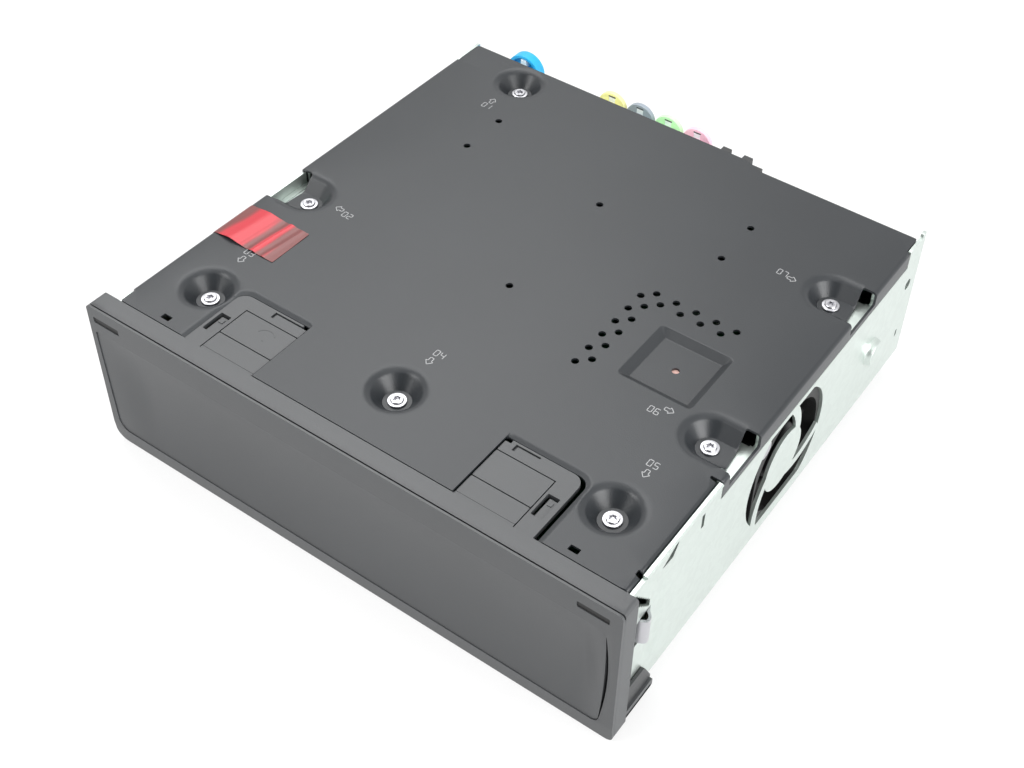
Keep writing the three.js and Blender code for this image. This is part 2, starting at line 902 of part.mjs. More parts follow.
function topCover() {
  const slope = (dimple.topRadius - dimple.floorRadius) / dimple.depth;
  const outerTop = dimple.topRadius + cover.sheet;
  const outerFloor = outerTop + slope * dimpleUnder;
  const lip = dimple.topRadius + slope * overrun;
  const sheet = extruded(coverOutline(), "z", coverUnder, 0);
  const flanges = sides.map((side) => {
    const rim = flangeSpan(side);
    return across(side, 0, cover.sheet, rim.start + gap, rim.end - gap, -cover.flangeDrop, 0);
  });
  const notchesTo = (low) =>
    edgeScrews.map(({ side, y }) =>
      across(side, -overrun, troughInset, y - outerTop, y + outerTop, low, overrun),
    );
  const dimples = [...pillarScrews, ...edgeScrews];
  const cups = dimples.map(({ x, y }) => cup(x, y, outerTop, outerFloor, 0, dimpleUnder));
  const hollows = dimples.map(({ x, y }) => cup(x, y, lip, dimple.floorRadius, overrun, -dimple.depth));
  const outerTroughs = edgeScrews.map((place) =>
    trough(place, outerTop, outerFloor, 0, dimpleUnder, place.side.at(troughInset)),
  );
  const innerTroughs = edgeScrews.map((place) =>
    trough(place, lip, dimple.floorRadius, overrun, -dimple.depth, place.side.at(troughInset - overrun)),
  );
  const bores = dimples.map(({ x, y }) =>
    rod("z", dimple.screwHole, x, y, dimpleUnder - overrun, overrun, smallSegments),
  );
  const middle = placeAt(recess.xShare, recess.yShare);
  const corner = Math.SQRT2 / 2;
  const recessUnder = -recess.depth - cover.sheet;
  const pressed = cup(
    middle.x,
    middle.y,
    (recess.size + cover.sheet) * corner,
    recess.floorSize * corner + cover.sheet,
    0,
    recessUnder,
    4,
  );
  const recessSlope = (recess.size - recess.floorSize) / recess.depth;
  const recessLip = (recess.size + recessSlope * overrun) * corner;
  const recessHollow = cup(
    middle.x,
    middle.y,
    recessLip,
    recess.floorSize * corner,
    overrun,
    -recess.depth,
    4,
  );
  const recessHole = rod(
    "z",
    recess.hole,
    middle.x,
    middle.y,
    recessUnder - overrun,
    overrun,
    smallSegments,
  );
  const holes = coverHoleShares.map(([xShare, yShare]) => {
    const { x, y } = placeAt(xShare, yShare);
    return rod("z", coverHole.radius, x, y, coverUnder - overrun, overrun, smallSegments);
  });
  const ventStart = placeAt(vent.xShare, vent.yShare);
  const vents = [];
  for (let i = 0; i < vent.columnCount; i += 1) {
    vents.push([0, i * vent.pitch]);
    vents.push([vent.stagger, i * vent.pitch + vent.stagger]);
  }
  const ventRear = (vent.columnCount - 1) * vent.pitch;
  for (let i = 0; i < vent.rowCount; i += 1) {
    vents.push([vent.pitch + i * vent.pitch, ventRear]);
    vents.push([vent.pitch + vent.stagger + i * vent.pitch, ventRear + vent.stagger]);
  }
  const ventHoles = vents.map(([dx, dy]) =>
    rod(
      "z",
      coverHole.radius,
      ventStart.x + dx,
      ventStart.y + dy,
      coverUnder - overrun,
      overrun,
      smallSegments,
    ),
  );
  const tongueCuts = [tongue.inset, panel.width - tongue.inset - tongue.width].map((start) =>
    block(start - gap, start + tongue.width + gap, 0, bodyFront + tongue.length + gap, -overrun, overrun),
  );
  const pressings = joined([sheet, ...cups, ...outerTroughs, pressed]);
  const rims = cutBy(joined(flanges), notchesTo(-rimNotch));
  const whole = cutBy(pressings, notchesTo(dimpleUnder - overrun)).add(rims);
  return cutBy(whole, [
    ...hollows,
    ...innerTroughs,
    ...bores,
    recessHollow,
    recessHole,
    ...holes,
    ...ventHoles,
    ...tongueCuts,
  ]);
}

// Screws
function screwSolid(size, shankRadius, shankLength) {
  const profile = [
    [0, -shankLength],
    [shankRadius, -shankLength],
    [shankRadius, 0],
    [size.flangeRadius, 0],
    [size.flangeRadius, size.flangeHeight],
    [size.headRadius, size.flangeHeight],
    [size.headRadius, size.headHeight],
    [size.socketRadius, size.headHeight],
    [size.socketRadius, size.headHeight - size.socketDepth],
    [0, size.headHeight - size.socketDepth],
  ].map(([radius, height]) => new THREE.Vector2(radius, height));
  const geometry = new THREE.LatheGeometry(profile, roundSegments);
  geometry.rotateX(Math.PI / 2);
  return solidFrom(geometry);
}

function addCoverScrews() {
  const places = [
    pillarScrews[0],
    edgeScrews[0],
    pillarScrews[1],
    pillarScrews[2],
    pillarScrews[3],
    edgeScrews[1],
    edgeScrews[2],
  ];
  places.forEach(({ x, y }, i) => {
    const mesh = addPiece(
      `cover_screw_${i + 1}`,
      screwSolid(screw, screw.shankRadius, screw.shankLength),
      screwSteel,
    );
    mesh.position.set(x, y, -dimple.depth);
  });
}

function addCoverPillars() {
  const height = dimpleUnder - bodyFloor;
  pillarScrews.forEach(({ x, y }, i) => {
    const bar = rod("z", pillarRadius, 0, 0, 0, height, 6);
    const bore = rod("z", thread.radius, 0, 0, height - thread.depth, height + overrun);
    const mesh = addPiece(`cover_pillar_${i + 1}`, bar.subtract(bore), brass);
    mesh.position.set(x, y, bodyFloor);
  });
}

// Boards and what stands on them
function boardPlace(xShare, yShare) {
  return {
    x: boardLeft + (boardRight - boardLeft) * xShare,
    y: boardFront + (boardRear - boardFront) * yShare,
  };
}

const boardPillars = [boardLeft + boardPillar.insetX, boardRight - boardPillar.insetX].flatMap((x) =>
  [boardFront + boardPillar.insetFront, boardRear - boardPillarBack].map((y) => ({ x, y })),
);

function boardSolid(top, pillarHole) {
  const plate = block(boardLeft, boardRight, boardFront, boardRear, top - board.thickness, top);
  const holes = boardPillars.map(({ x, y }) => rod(
    "z",
    pillarHole,
    x,
    y,
    top - board.thickness - overrun,
    top + overrun,
  ));
  const { x, y } = pillarScrews[0];
  const passage = rod(
    "z",
    pillarRadius + pillarClearance,
    x,
    y,
    top - board.thickness - overrun,
    top + overrun,
  );
  return cutBy(plate, [...holes, passage]);
}

function addBoards() {
  addPiece("amplifier_board", boardSolid(lowerBoardTop, boardPillar.neckRadius + gap), greenBoard);
  const socketBack = bodyRear - socket.backLength - socket.cavityDepth + socket.reach;
  const notch = block(
    socketLeft - 2 * gap,
    socketRight + 2 * gap,
    socketBack - gap,
    boardRear + overrun,
    mainBoardUnder - overrun,
    mainBoardTop + overrun,
  );
  addPiece(
    "main_board",
    boardSolid(mainBoardTop, boardScrew.shankRadius + gap).subtract(notch),
    greenBoard,
  );
}

function addBoardPillars() {
  const shoulder = lowerBoardUnder - bodyFloor;
  const height = mainBoardUnder - bodyFloor;
  boardPillars.forEach(({ x, y }, i) => {
    const base = rod("z", boardPillar.baseRadius, 0, 0, 0, shoulder, 6);
    const neck = rod("z", boardPillar.neckRadius, 0, 0, 0, height);
    const bore = rod(
      "z",
      boardPillar.boreRadius,
      0,
      0,
      height - boardPillar.boreDepth,
      height + overrun,
      smallSegments,
    );
    const pillar = addPiece(`board_pillar_${i + 1}`, base.add(neck).subtract(bore), brass);
    pillar.position.set(x, y, bodyFloor);
    const head = rod("z", boardScrew.headRadius, 0, 0, 0, boardScrew.headHeight);
    const shank = rod(
      "z",
      boardScrew.shankRadius,
      0,
      0,
      -boardScrew.shankLength,
      overrun / 2,
      smallSegments,
    );
    const fixing = addPiece(`board_screw_${i + 1}`, head.add(shank), screwSteel);
    fixing.position.set(x, y, mainBoardTop);
  });
}

function addProcessor() {
  const { x, y } = placeAt(recess.xShare, recess.yShare);
  const half = processor.size / 2;
  const chipTop = mainBoardTop + processor.height;
  addPiece("processor", block(x - half, x + half, y - half, y + half, mainBoardTop, chipTop), chipBlack);
  const padTop = -recess.depth - cover.sheet;
  const sinkTop = padTop - thermalPad.thickness;
  const sinkHalf = sinkBlock.size / 2;
  const sink = block(x - sinkHalf, x + sinkHalf, y - sinkHalf, y + sinkHalf, chipTop, sinkTop);
  const pitch = sinkBlock.size / (sinkBlock.channelCount + 1);
  const floor = sinkTop - sinkBlock.channelDepth;
  const channels = Array.from({ length: sinkBlock.channelCount }, (_, i) => {
    const middle = y - sinkHalf + pitch * (i + 1);
    const half = sinkBlock.channel / 2;
    return block(
      x - sinkHalf - overrun,
      x + sinkHalf + overrun,
      middle - half,
      middle + half,
      floor - sinkBlock.channel,
      floor,
    );
  });
  addPiece("processor_heat_sink", cutBy(sink, channels), aluminium);
  const padHalf = thermalPad.size / 2;
  addPiece(
    "thermal_pad",
    block(x - padHalf, x + padHalf, y - padHalf, y + padHalf, sinkTop, padTop),
    { color: 0xe3b9b0, roughness: 0.8, metalness: 0 },
  );
}

function addAmplifier() {
  const { width, length, base, finThickness, finCount } = amplifierSink;
  const height = boardSpace - amplifierSink.clearance;
  const { x, y } = boardPlace(amplifierSink.xShare, amplifierSink.yShare);
  const top = lowerBoardTop + height;
  const pitch = (width - finThickness) / (finCount - 1);
  const spine = block(x, x + width, y, y + base, lowerBoardTop, top);
  const fins = Array.from({ length: finCount }, (_, i) =>
    block(x + i * pitch, x + i * pitch + finThickness, y, y + length, lowerBoardTop, top),
  );
  addPiece("amplifier_heat_sink", joined([spine, ...fins]), aluminium);
  const chipLeft = x + (width - amplifierChip.width) / 2;
  addPiece(
    "amplifier_chip",
    block(
      chipLeft,
      chipLeft + amplifierChip.width,
      y - amplifierChip.thickness,
      y,
      lowerBoardTop,
      top - amplifierChip.shortfall,
    ),
    chipBlack,
  );
  const first = boardPlace(capacitor.xShare, capacitor.yShare);
  for (let i = 0; i < capacitor.count; i += 1) {
    const can = rod("z", capacitor.radius, 0, 0, 0, boardSpace - capacitor.clearance);
    const mesh = addPiece(`capacitor_${i + 1}`, can, { color: 0x2b3f63, roughness: 0.4, metalness: 0.1 });
    mesh.position.set(first.x + i * capacitor.pitch, first.y, lowerBoardTop);
  }
}

function addShields() {
  [["tuner_shield", tunerShield], ["modem_shield", modemShield]].forEach(([name, size]) => {
    const { x } = boardPlace(size.xShare, 0);
    const rear = boardRear - shieldRearInset;
    const top = mainBoardTop + size.height;
    addPiece(name, block(x, x + size.width, rear - size.length, rear, mainBoardTop, top), steel);
  });
  const { width, length } = boardConnector;
  const { x, y } = boardPlace(boardConnector.xShare, boardConnector.yShare);
  const link = block(x, x + width, y, y + length, lowerBoardTop, mainBoardUnder);
  addPiece("board_connector", link, chipBlack);
}

// Rear sockets: a board base, a collar inside the sheet, a sleeve, and a keyed disc with a window
function addCoaxSockets() {
  const rear = bodyRear + coax.reach;
  const sheetInside = bodyRear - body.wall;
  const tubeStart = sheetInside - coax.collarThickness;
  const baseStart = tubeStart - coax.baseLength;
  coaxSockets.forEach(({ name, x, discRadius, colour }) => {
    const tube = rod("y", coax.radius, 0, 0, tubeStart, rear);
    const collar = rod("y", coax.radius + coax.collarStep, 0, 0, tubeStart, sheetInside);
    const disc = rod("y", discRadius, 0, 0, rear - coax.discThickness, rear, 2 * roundSegments);
    const base = block(
      -coax.baseHalf,
      coax.baseHalf,
      baseStart,
      tubeStart + coax.collarThickness / 2,
      mainBoardTop + coax.drop,
      coax.baseTop,
    );
    const bore = rod("y", coax.boreRadius, 0, 0, rear - coax.boreDepth, rear + overrun);
    const contactHole = rod(
      "y",
      coax.contactRadius + gap,
      0,
      0,
      baseStart - overrun,
      rear,
      smallSegments,
    );
    const window = block(
      -coax.windowWidth / 2,
      coax.windowWidth / 2,
      rear - coax.discThickness,
      rear + overrun,
      coax.radius,
      coax.radius + coax.windowHeight,
    );
    const sleeve = cutBy(joined([tube, collar, base, disc]), [bore, contactHole, window]);
    const holder = new THREE.Group();
    holder.position.set(x, 0, -coax.drop);
    unit.add(holder);
    addPiece(`coax_socket_${name}`, sleeve, { color: colour, roughness: 0.5, metalness: 0 }, holder);
    const contactEnd = rear - coax.boreDepth + coax.contactReach;
    const contact = rod("y", coax.contactRadius, 0, 0, baseStart, contactEnd, smallSegments);
    addPiece(`coax_contact_${name}`, contact, brass, holder);
  });
}

function addMainSocket() {
  const rear = bodyRear + socket.reach;
  const cavityFloor = rear - socket.cavityDepth;
  const back = cavityFloor - socket.backLength;
  const shell = block(socketLeft, socketRight, back, rear, lowerBoardTop, socketTop);
  const cavityLeft = socketLeft + socket.wall;
  const cavityRight = socketRight - socket.wall;
  const cavityTop = socketTop - socket.wall;
  const cavityBottom = lowerBoardTop + socket.wall;
  const cavity = block(cavityLeft, cavityRight, cavityFloor, rear + overrun, cavityBottom, cavityTop);
  const middle = (socketLeft + socketRight) / 2;
  const tabs = [-1, 1].map((sign) => {
    const centre = middle + (sign * socket.tabSpacing) / 2;
    return block(
      centre - socket.tabWidth / 2,
      centre + socket.tabWidth / 2,
      rear - socket.tabLength,
      rear,
      socketTop - socket.wall / 2,
      socketTop + socket.tabHeight,
    );
  });
  addPiece("main_connector", shell.subtract(cavity).add(joined(tabs)), blackPlastic);
  const plate = block(
    cavityLeft + gap,
    cavityRight - gap,
    cavityFloor,
    cavityFloor + socket.plateThickness,
    cavityBottom + gap,
    cavityTop - gap,
  );
  const columnPitch = (cavityRight - cavityLeft) / (socket.pinColumns + 1);
  const rowPitch = (cavityTop - cavityBottom) / (socket.pinRows + 1);
  const pins = [];
  for (let column = 1; column <= socket.pinColumns; column += 1) {
    for (let row = 1; row <= socket.pinRows; row += 1) {
      pins.push(
        rod(
          "y",
          socket.pinRadius,
          cavityLeft + column * columnPitch,
          cavityBottom + row * rowPitch,
          cavityFloor,
          cavityFloor + socket.plateThickness + socket.pinLength,
          6,
        ),
      );
    }
  }
  addPiece("connector_pins", joined([plate, ...pins]), brass);
}

// Fan: the frame is seated on the right wall, its rotor turns on a shaft along X.
function addFan() {
  const { y } = placeAt(0, fan.yShare);
  const holder = new THREE.Group();
  holder.position.set(innerRight, y, -fanDrop);
  unit.add(holder);
  const half = fanSize / 2;
  const back = -fan.thickness;
  const holeHalf = fanSize / 2 - fan.holeInset;
  const screwPlaces = [
    [-holeHalf, holeHalf],
    [holeHalf, -holeHalf],
  ];
  const hollow = rod("x", fanBore, 0, 0, back + fan.baseThickness, overrun, 2 * roundSegments);
  const rearBore = rod("x", fanBore, 0, 0, back - overrun, overrun, 2 * roundSegments);
  const base = rod("x", fan.baseRadius, 0, 0, back, back + fan.baseThickness);
  const tube = rod("x", fan.tubeRadius, 0, 0, back, back + fan.baseThickness + fan.tubeLength);
  const strutHalf = fan.strutWidth / 2;
  const struts = [0, 1, 2].map((i) =>
    solidFrom(
      new THREE.BoxGeometry(fan.baseThickness, fanBore + overrun, fan.strutWidth)
        .translate(back + fan.baseThickness / 2, (fanBore + overrun) / 2, 0)
        .rotateX((i * 2 * Math.PI) / 3 + strutHalf / fanBore),
    ),
  );
  const shell = block(back, 0, -half, half, -half, half).subtract(hollow).subtract(rearBore);
  const bearing = rod(
    "x",
    fan.shaftRadius + fan.bearingClearance,
    0,
    0,
    back + fan.baseThickness,
    back + fan.baseThickness + fan.tubeLength + overrun,
  );
  const holes = screwPlaces.flatMap(([a, b]) => [
    rod("x", dimple.screwHole, a, b, back - overrun, overrun, smallSegments),
    rod("x", fan.screwHeadRadius + gap, a, b, -fan.screwHeadHeight, overrun),
  ]);
  const frame = cutBy(joined([shell, base, tube, ...struts]), [bearing, ...holes]);
  addPiece("fan_frame", frame, blackPlastic, holder);

  const hubFront = -fan.faceInset;
  const hubBack = hubFront - fan.hubLength;
  const cap = rod("x", fan.hubRadius, 0, 0, hubBack, hubFront);
  const inside = rod("x", fan.hubRadius - fan.hubWall, 0, 0, hubBack - overrun, hubFront - fan.hubWall);
  const shaftStart = back + fan.baseThickness + gap;
  const shaft = rod("x", fan.shaftRadius, 0, 0, shaftStart, hubFront - fan.hubWall / 2);
  const bladeLength = bladeRadius - fan.hubRadius + fan.hubWall / 2;
  const bladeMiddle = bladeRadius - bladeLength / 2;
  const blades = Array.from({ length: fan.bladeCount }, (_, i) =>
    solidFrom(
      new THREE.BoxGeometry(fan.bladeThickness, bladeLength, fan.bladeChord)
        .rotateY(THREE.MathUtils.degToRad(fan.bladePitch))
        .translate(hubBack + fan.hubLength / 2, bladeMiddle, 0)
        .rotateX((i * 2 * Math.PI) / fan.bladeCount),
    ),
  );
  addPiece("fan_rotor", joined([cap.subtract(inside), shaft, ...blades]), chipBlack, holder);

  const bracketBack = back - fanBracket.thickness;
  const floor = bodyFloor + fanDrop;
  const plate = block(bracketBack, back, -half, half, floor, half);
  const plateBore = rod(
    "x",
    fanBore,
    0,
    0,
    bracketBack - overrun,
    back + overrun,
    2 * roundSegments,
  );
  const footBack = bracketBack - fanBracket.footLength;
  const bracketFoot = block(footBack, back, -half, half, floor, floor + fanBracket.thickness);
  const bracketHoles = screwPlaces.map(([a, b]) => rod(
    "x",
    thread.radius,
    a,
    b,
    bracketBack - overrun,
    back + overrun,
    smallSegments,
  ));
  addPiece("fan_bracket", cutBy(plate.subtract(plateBore).add(bracketFoot), bracketHoles), steel, holder);

  screwPlaces.forEach(([a, b], i) => {
    const head = rod("x", fan.screwHeadRadius, a, b, -fan.screwHeadHeight, 0);
    const shank = rod(
      "x",
      screw.shankRadius,
      a,
      b,
      bracketBack - fanBracket.margin,
      -fan.screwHeadHeight / 2,
      smallSegments,
    );
    addPiece(`fan_screw_${i + 1}`, head.add(shank), screwSteel, holder);
  });
}

// Retaining catches: a sprung leaf curled round an upright pin, its hook standing out through the wall.
function addCatches() {
  const top = -catchSpring.drop;
  const under = top - catchSpring.height;
  const curlInner = catchSpring.pinRadius + catchSpring.pinClearance;
  const curlOuter = curlInner + catchSpring.curlWall;
  sides.forEach((side) => {
    const pivotY = bodyFront + catchSpring.pinStart;
    const holder = new THREE.Group();
    holder.position.set(side.at(catchSpring.pinInset), pivotY, 0);
    unit.add(holder);
    const out = side.outward;
    const leafOuter = curlOuter;
    const leafInner = leafOuter - catchSpring.sheet;
    const rampEnd = -catchSpring.length + catchSpring.hookLength;
    const rampStart = rampEnd + catchSpring.rampLength;
    const hookOuter = catchSpring.pinInset + catchSpring.hookReach;
    const hookInner = hookOuter - catchSpring.sheet;
    const outline = outlineOf(
      [
        [leafInner, 0],
        [leafOuter, 0],
        [leafOuter, rampStart],
        [hookOuter, rampEnd],
        [hookOuter, -catchSpring.length],
        [hookInner, -catchSpring.length],
        [hookInner, rampEnd],
        [leafInner, rampStart],
      ].map(([u, y]) => [out * u, y]),
    );
    const curl = rod("z", curlOuter, 0, 0, under, top);
    const bore = rod("z", curlInner, 0, 0, under - overrun, top + overrun);
    const leaf = curl.add(extruded(outline, "z", under, top)).subtract(bore);
    addPiece(`catch_${side.name}`, leaf, steel, holder);
    const pinTop = top + gap + catchSpring.earThickness;
    const pinUnder = under - gap - catchSpring.earThickness;
    addPiece(
      `catch_pin_${side.name}`,
      rod("z", catchSpring.pinRadius, 0, 0, pinUnder, pinTop, smallSegments),
      screwSteel,
      holder,
    );
  });
}

function sealLabel() {
  const { y } = placeAt(0, seal.yShare);
  const half = seal.width / 2;
  const top = block(
    bodyLeft - seal.thickness,
    bodyLeft + seal.length,
    y - half,
    y + half,
    0,
    seal.thickness,
  );
  const fold = block(
    bodyLeft - seal.thickness,
    bodyLeft,
    y - half,
    y + half,
    -seal.foldDrop,
    seal.thickness,
  );
  return top.add(fold);
}

addPiece("chassis_tray", chassisTray(), steel);
addPiece("rear_panel", rearPanel(), steel);
addPiece("top_cover", topCover(), blackSteel);
addPiece("front_frame", frontFrame(), blackPlastic);
addPiece("fascia_insert", fasciaInsert(), blackPlastic);
addPiece("seal_label", sealLabel(), { color: 0xc8202c, roughness: 0.35, metalness: 0 });
addCoverScrews();
addCoverPillars();
addBoards();
addBoardPillars();
addProcessor();
addAmplifier();
addShields();
addCoaxSockets();
addMainSocket();
addFan();
addCatches();

export default unit;
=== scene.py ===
# Looks of the car head unit: folded steel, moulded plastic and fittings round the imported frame.
# Lengths are millimetres in the unit's layout frame, from the front frame's top left front corner:
# X runs to the right, Y to the rear, and heights count down from zero. add_piece() turns them into metres.
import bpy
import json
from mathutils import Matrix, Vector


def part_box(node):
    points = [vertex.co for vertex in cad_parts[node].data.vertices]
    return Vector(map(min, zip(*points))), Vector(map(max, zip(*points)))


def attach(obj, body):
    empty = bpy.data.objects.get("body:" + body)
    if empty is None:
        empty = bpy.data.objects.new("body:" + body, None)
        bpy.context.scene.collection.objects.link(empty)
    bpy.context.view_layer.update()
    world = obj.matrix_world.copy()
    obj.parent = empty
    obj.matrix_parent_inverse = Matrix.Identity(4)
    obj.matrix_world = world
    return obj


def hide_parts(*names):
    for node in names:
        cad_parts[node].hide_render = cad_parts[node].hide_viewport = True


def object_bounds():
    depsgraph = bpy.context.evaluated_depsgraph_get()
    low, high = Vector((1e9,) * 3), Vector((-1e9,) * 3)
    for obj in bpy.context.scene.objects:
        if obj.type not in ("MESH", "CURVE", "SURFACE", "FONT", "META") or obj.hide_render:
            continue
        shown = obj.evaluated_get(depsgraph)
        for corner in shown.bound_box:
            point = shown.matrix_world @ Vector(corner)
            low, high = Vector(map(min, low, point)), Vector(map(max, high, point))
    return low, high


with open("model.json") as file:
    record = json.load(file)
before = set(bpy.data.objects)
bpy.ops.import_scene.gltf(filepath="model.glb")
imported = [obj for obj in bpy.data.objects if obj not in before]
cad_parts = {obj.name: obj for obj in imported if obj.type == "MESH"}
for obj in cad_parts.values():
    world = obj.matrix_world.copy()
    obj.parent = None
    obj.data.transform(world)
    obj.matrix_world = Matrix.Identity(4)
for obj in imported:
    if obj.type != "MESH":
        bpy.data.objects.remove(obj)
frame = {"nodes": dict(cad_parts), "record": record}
cad_box = [list(corner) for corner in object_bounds()]

import json
import math

import bmesh
import bpy
import numpy as np
from mathutils import Matrix, Vector
from mathutils.geometry import delaunay_2d_cdt

MM = 0.001
MERGE = 1e-5
BEVEL_ANGLE = math.radians(50)
QUARTER = math.pi / 2

front_corner, rear_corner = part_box("front_frame")
ORIGIN = np.array((front_corner.x, front_corner.y, rear_corner.z))


def local_box(node):
    """A node's lowest and highest corners in the layout frame, in millimetres."""
    low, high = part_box(node)
    return (np.array(low) - ORIGIN) / MM, (np.array(high) - ORIGIN) / MM


def middle(node):
    low, high = local_box(node)
    return (low + high) / 2


# Driving sizes, in millimetres
SHEET = 0.8
WALL = 1.0
BEND = 1.3
BEND_GAIN = BEND * (QUARTER - 1)
BEND_CUTS = 6
FACET = 4.0
HOLE_FACETS = 20
GAP = 0.3
cover_low, cover_high = local_box("top_cover")
tray_low, tray_high = local_box("chassis_tray")
front_low, front_high = local_box("front_frame")
LEFT, RIGHT = cover_low[0], cover_high[0]
FRONT, REAR = cover_low[1], cover_high[1]
FLOOR = tray_low[2]
TAIL = tray_high[1]
PANEL = {"width": front_high[0], "height": -front_low[2], "depth": tray_low[1]}
STEP = {"x": 123.45, "ramp": 7.0, "depth": 2.8}
FLANGE = {"drop": 6.5, "right": (52.4, 169.8), "left": (13.0, 168.4)}
DIMPLE = {"floor": 4.2, "crest": 7.35, "rim": 9.8, "depth": 5.0, "lip": 1.0}
TROUGH = {
    "half": 8.6, "front": 3.4, "rear": 4.9, "flange_drop": 4.8, "slack": 0.1, "corner": 0.6, "step": 1.2,
}
RECESS = {"x": 152.5, "y": 82.0, "half": 12.4, "floor": 9.8, "depth": 2.0, "corner": 1.6, "hole": 1.2}


def case_x(side):
    """X of the case's left (-1) or right (1) face."""
    return RIGHT if side > 0 else LEFT


def bend_x(side):
    """X where the case's sheet starts to bend round on a side."""
    return case_x(side) - side * BEND


# Outlines
def unit(vector):
    return vector / np.linalg.norm(vector)


def rounded(corners, steps=6):
    """A closed outline through (a, b, radius) corners, each turned by an arc of its radius."""
    loop = []
    for i, (a, b, radius) in enumerate(corners):
        here = np.array((a, b), float)
        if radius <= 0:
            loop.append((a, b))
            continue
        before = unit(np.array(corners[i - 1][:2]) - here)
        after = unit(np.array(corners[(i + 1) % len(corners)][:2]) - here)
        half = math.acos(float(np.clip(before @ after, -1, 1))) / 2
        centre = here + unit(before + after) * radius / math.sin(half)
        start = here + before * radius / math.tan(half) - centre
        end = here + after * radius / math.tan(half) - centre
        first = math.atan2(start[1], start[0])
        turn = math.atan2(end[1], end[0]) - first
        turn = (turn + math.pi) % (2 * math.pi) - math.pi
        for k in range(steps + 1):
            angle = first + turn * k / steps
            loop.append((centre[0] + radius * math.cos(angle), centre[1] + radius * math.sin(angle)))
    return loop


def ring(a, b, radius, steps=24, start=0.0, sweep=2 * math.pi):
    """Points round a circle, or along an arc of it."""
    ends = 0 if abs(sweep) >= 2 * math.pi else 1
    angles = [start + sweep * k / steps for k in range(steps + ends)]
    return [(a + radius * math.cos(t), b + radius * math.sin(t)) for t in angles]


def closed(loop):
    """An outline as a path that comes back to its start."""
    return loop + loop[:1]


def box_loop(a0, a1, b0, b1, radius=0.0, steps=4):
    """A rectangle with round corners."""
    return rounded([(a0, b0, radius), (a1, b0, radius), (a1, b1, radius), (a0, b1, radius)], steps)


def fine(loop, step):
    """The same closed loop with its long sides cut into equal pieces no longer than step."""
    out = []
    for i, start in enumerate(loop):
        end = loop[(i + 1) % len(loop)]
        count = max(1, math.ceil(math.dist(start, end) / step))
        for k in range(count):
            t = k / count
            out.append((start[0] + (end[0] - start[0]) * t, start[1] + (end[1] - start[1]) * t))
    return out


def line(a0, a1, b0, b1, step=3.0):
    """Points along a straight line."""
    count = max(2, math.ceil(math.dist((a0, b0), (a1, b1)) / step))
    return [(a0 + (a1 - a0) * k / count, b0 + (b1 - b0) * k / count) for k in range(count + 1)]


def inside(loop, points):
    """Which points lie in a closed loop."""
    hit = np.zeros(len(points), bool)
    a, b = points[:, 0], points[:, 1]
    loop = np.array(loop)
    near = (
        (a >= loop[:, 0].min()) & (a <= loop[:, 0].max())
        & (b >= loop[:, 1].min()) & (b <= loop[:, 1].max())
    )
    index = np.nonzero(near)[0]
    x, y = a[index], b[index]
    odd = np.zeros(len(index), bool)
    for (x0, y0), (x1, y1) in zip(loop, np.roll(loop, -1, axis=0)):
        crosses = (y0 > y) != (y1 > y)
        if y1 != y0:
            odd ^= crosses & (x < (x1 - x0) * (y - y0) / (y1 - y0) + x0)
    hit[index] = odd
    return hit


def on_sheet(points, outline, holes=()):
    """Only the points that lie on the sheet."""
    cloud = np.array(points)
    keep = inside(outline, cloud)
    for hole in holes:
        keep &= ~inside(hole, cloud)
    return cloud[keep].tolist()


# Meshes
def triangulated(outline, holes, points, lines, cut=None):
    """A flat mesh of an outline less its holes, which runs through the given points and lines."""
    coords = []
    edges = []

    def add_loop(loop, closed=True):
        start = len(coords)
        coords.extend(Vector(p) for p in loop)
        last = len(loop) if closed else len(loop) - 1
        edges.extend((start + k, start + (k + 1) % len(loop)) for k in range(last))

    for loop in (outline, *holes):
        add_loop(loop)
    for path in lines:
        add_loop(path, closed=False)
    coords.extend(Vector(p) for p in points)
    verts, _, faces, *_ = delaunay_2d_cdt(coords, edges, [], 0, MERGE)
    verts = np.array([tuple(v) for v in verts])
    faces = np.array(faces)
    centres = verts[faces].mean(axis=1)
    keep = inside(outline, centres)
    for hole in holes:
        keep &= ~inside(hole, centres)
    if cut:
        keep &= ~cut(centres)
    a, b, c = (verts[faces[:, k]] for k in range(3))
    area = (b[:, 0] - a[:, 0]) * (c[:, 1] - a[:, 1]) - (b[:, 1] - a[:, 1]) * (c[:, 0] - a[:, 0])
    keep &= np.abs(area) > MERGE
    faces = faces[keep]
    used = np.unique(faces)
    renumber = np.full(len(verts), -1)
    renumber[used] = np.arange(len(used))
    return verts[used], renumber[faces]


def slab_data(outline, front, back, place, holes=(), points=(), lines=(), cut=None):
    """A closed plate between two height functions, laid out by place(a, b, height)."""
    flat, faces = triangulated(outline, holes, points, lines, cut)
    a, b = flat[:, 0], flat[:, 1]
    top = place(a, b, front(a, b))
    under = place(a, b, back(a, b))
    count = len(flat)
    seen = {}
    for face in faces:
        for k in range(3):
            edge = (int(face[k]), int(face[(k + 1) % 3]))
            seen[tuple(sorted(edge))] = None if tuple(sorted(edge)) in seen else edge
    walls = [(e[1], e[0], e[0] + count, e[1] + count) for e in seen.values() if e is not None]
    quads = [tuple(int(i) for i in f) for f in faces]
    quads += [tuple(int(i) + count for i in reversed(f)) for f in faces]
    return np.vstack((top, under)), quads + walls


def level(height):
    """A height function that is the same all over."""
    return lambda a, b: np.full(len(a), float(height))


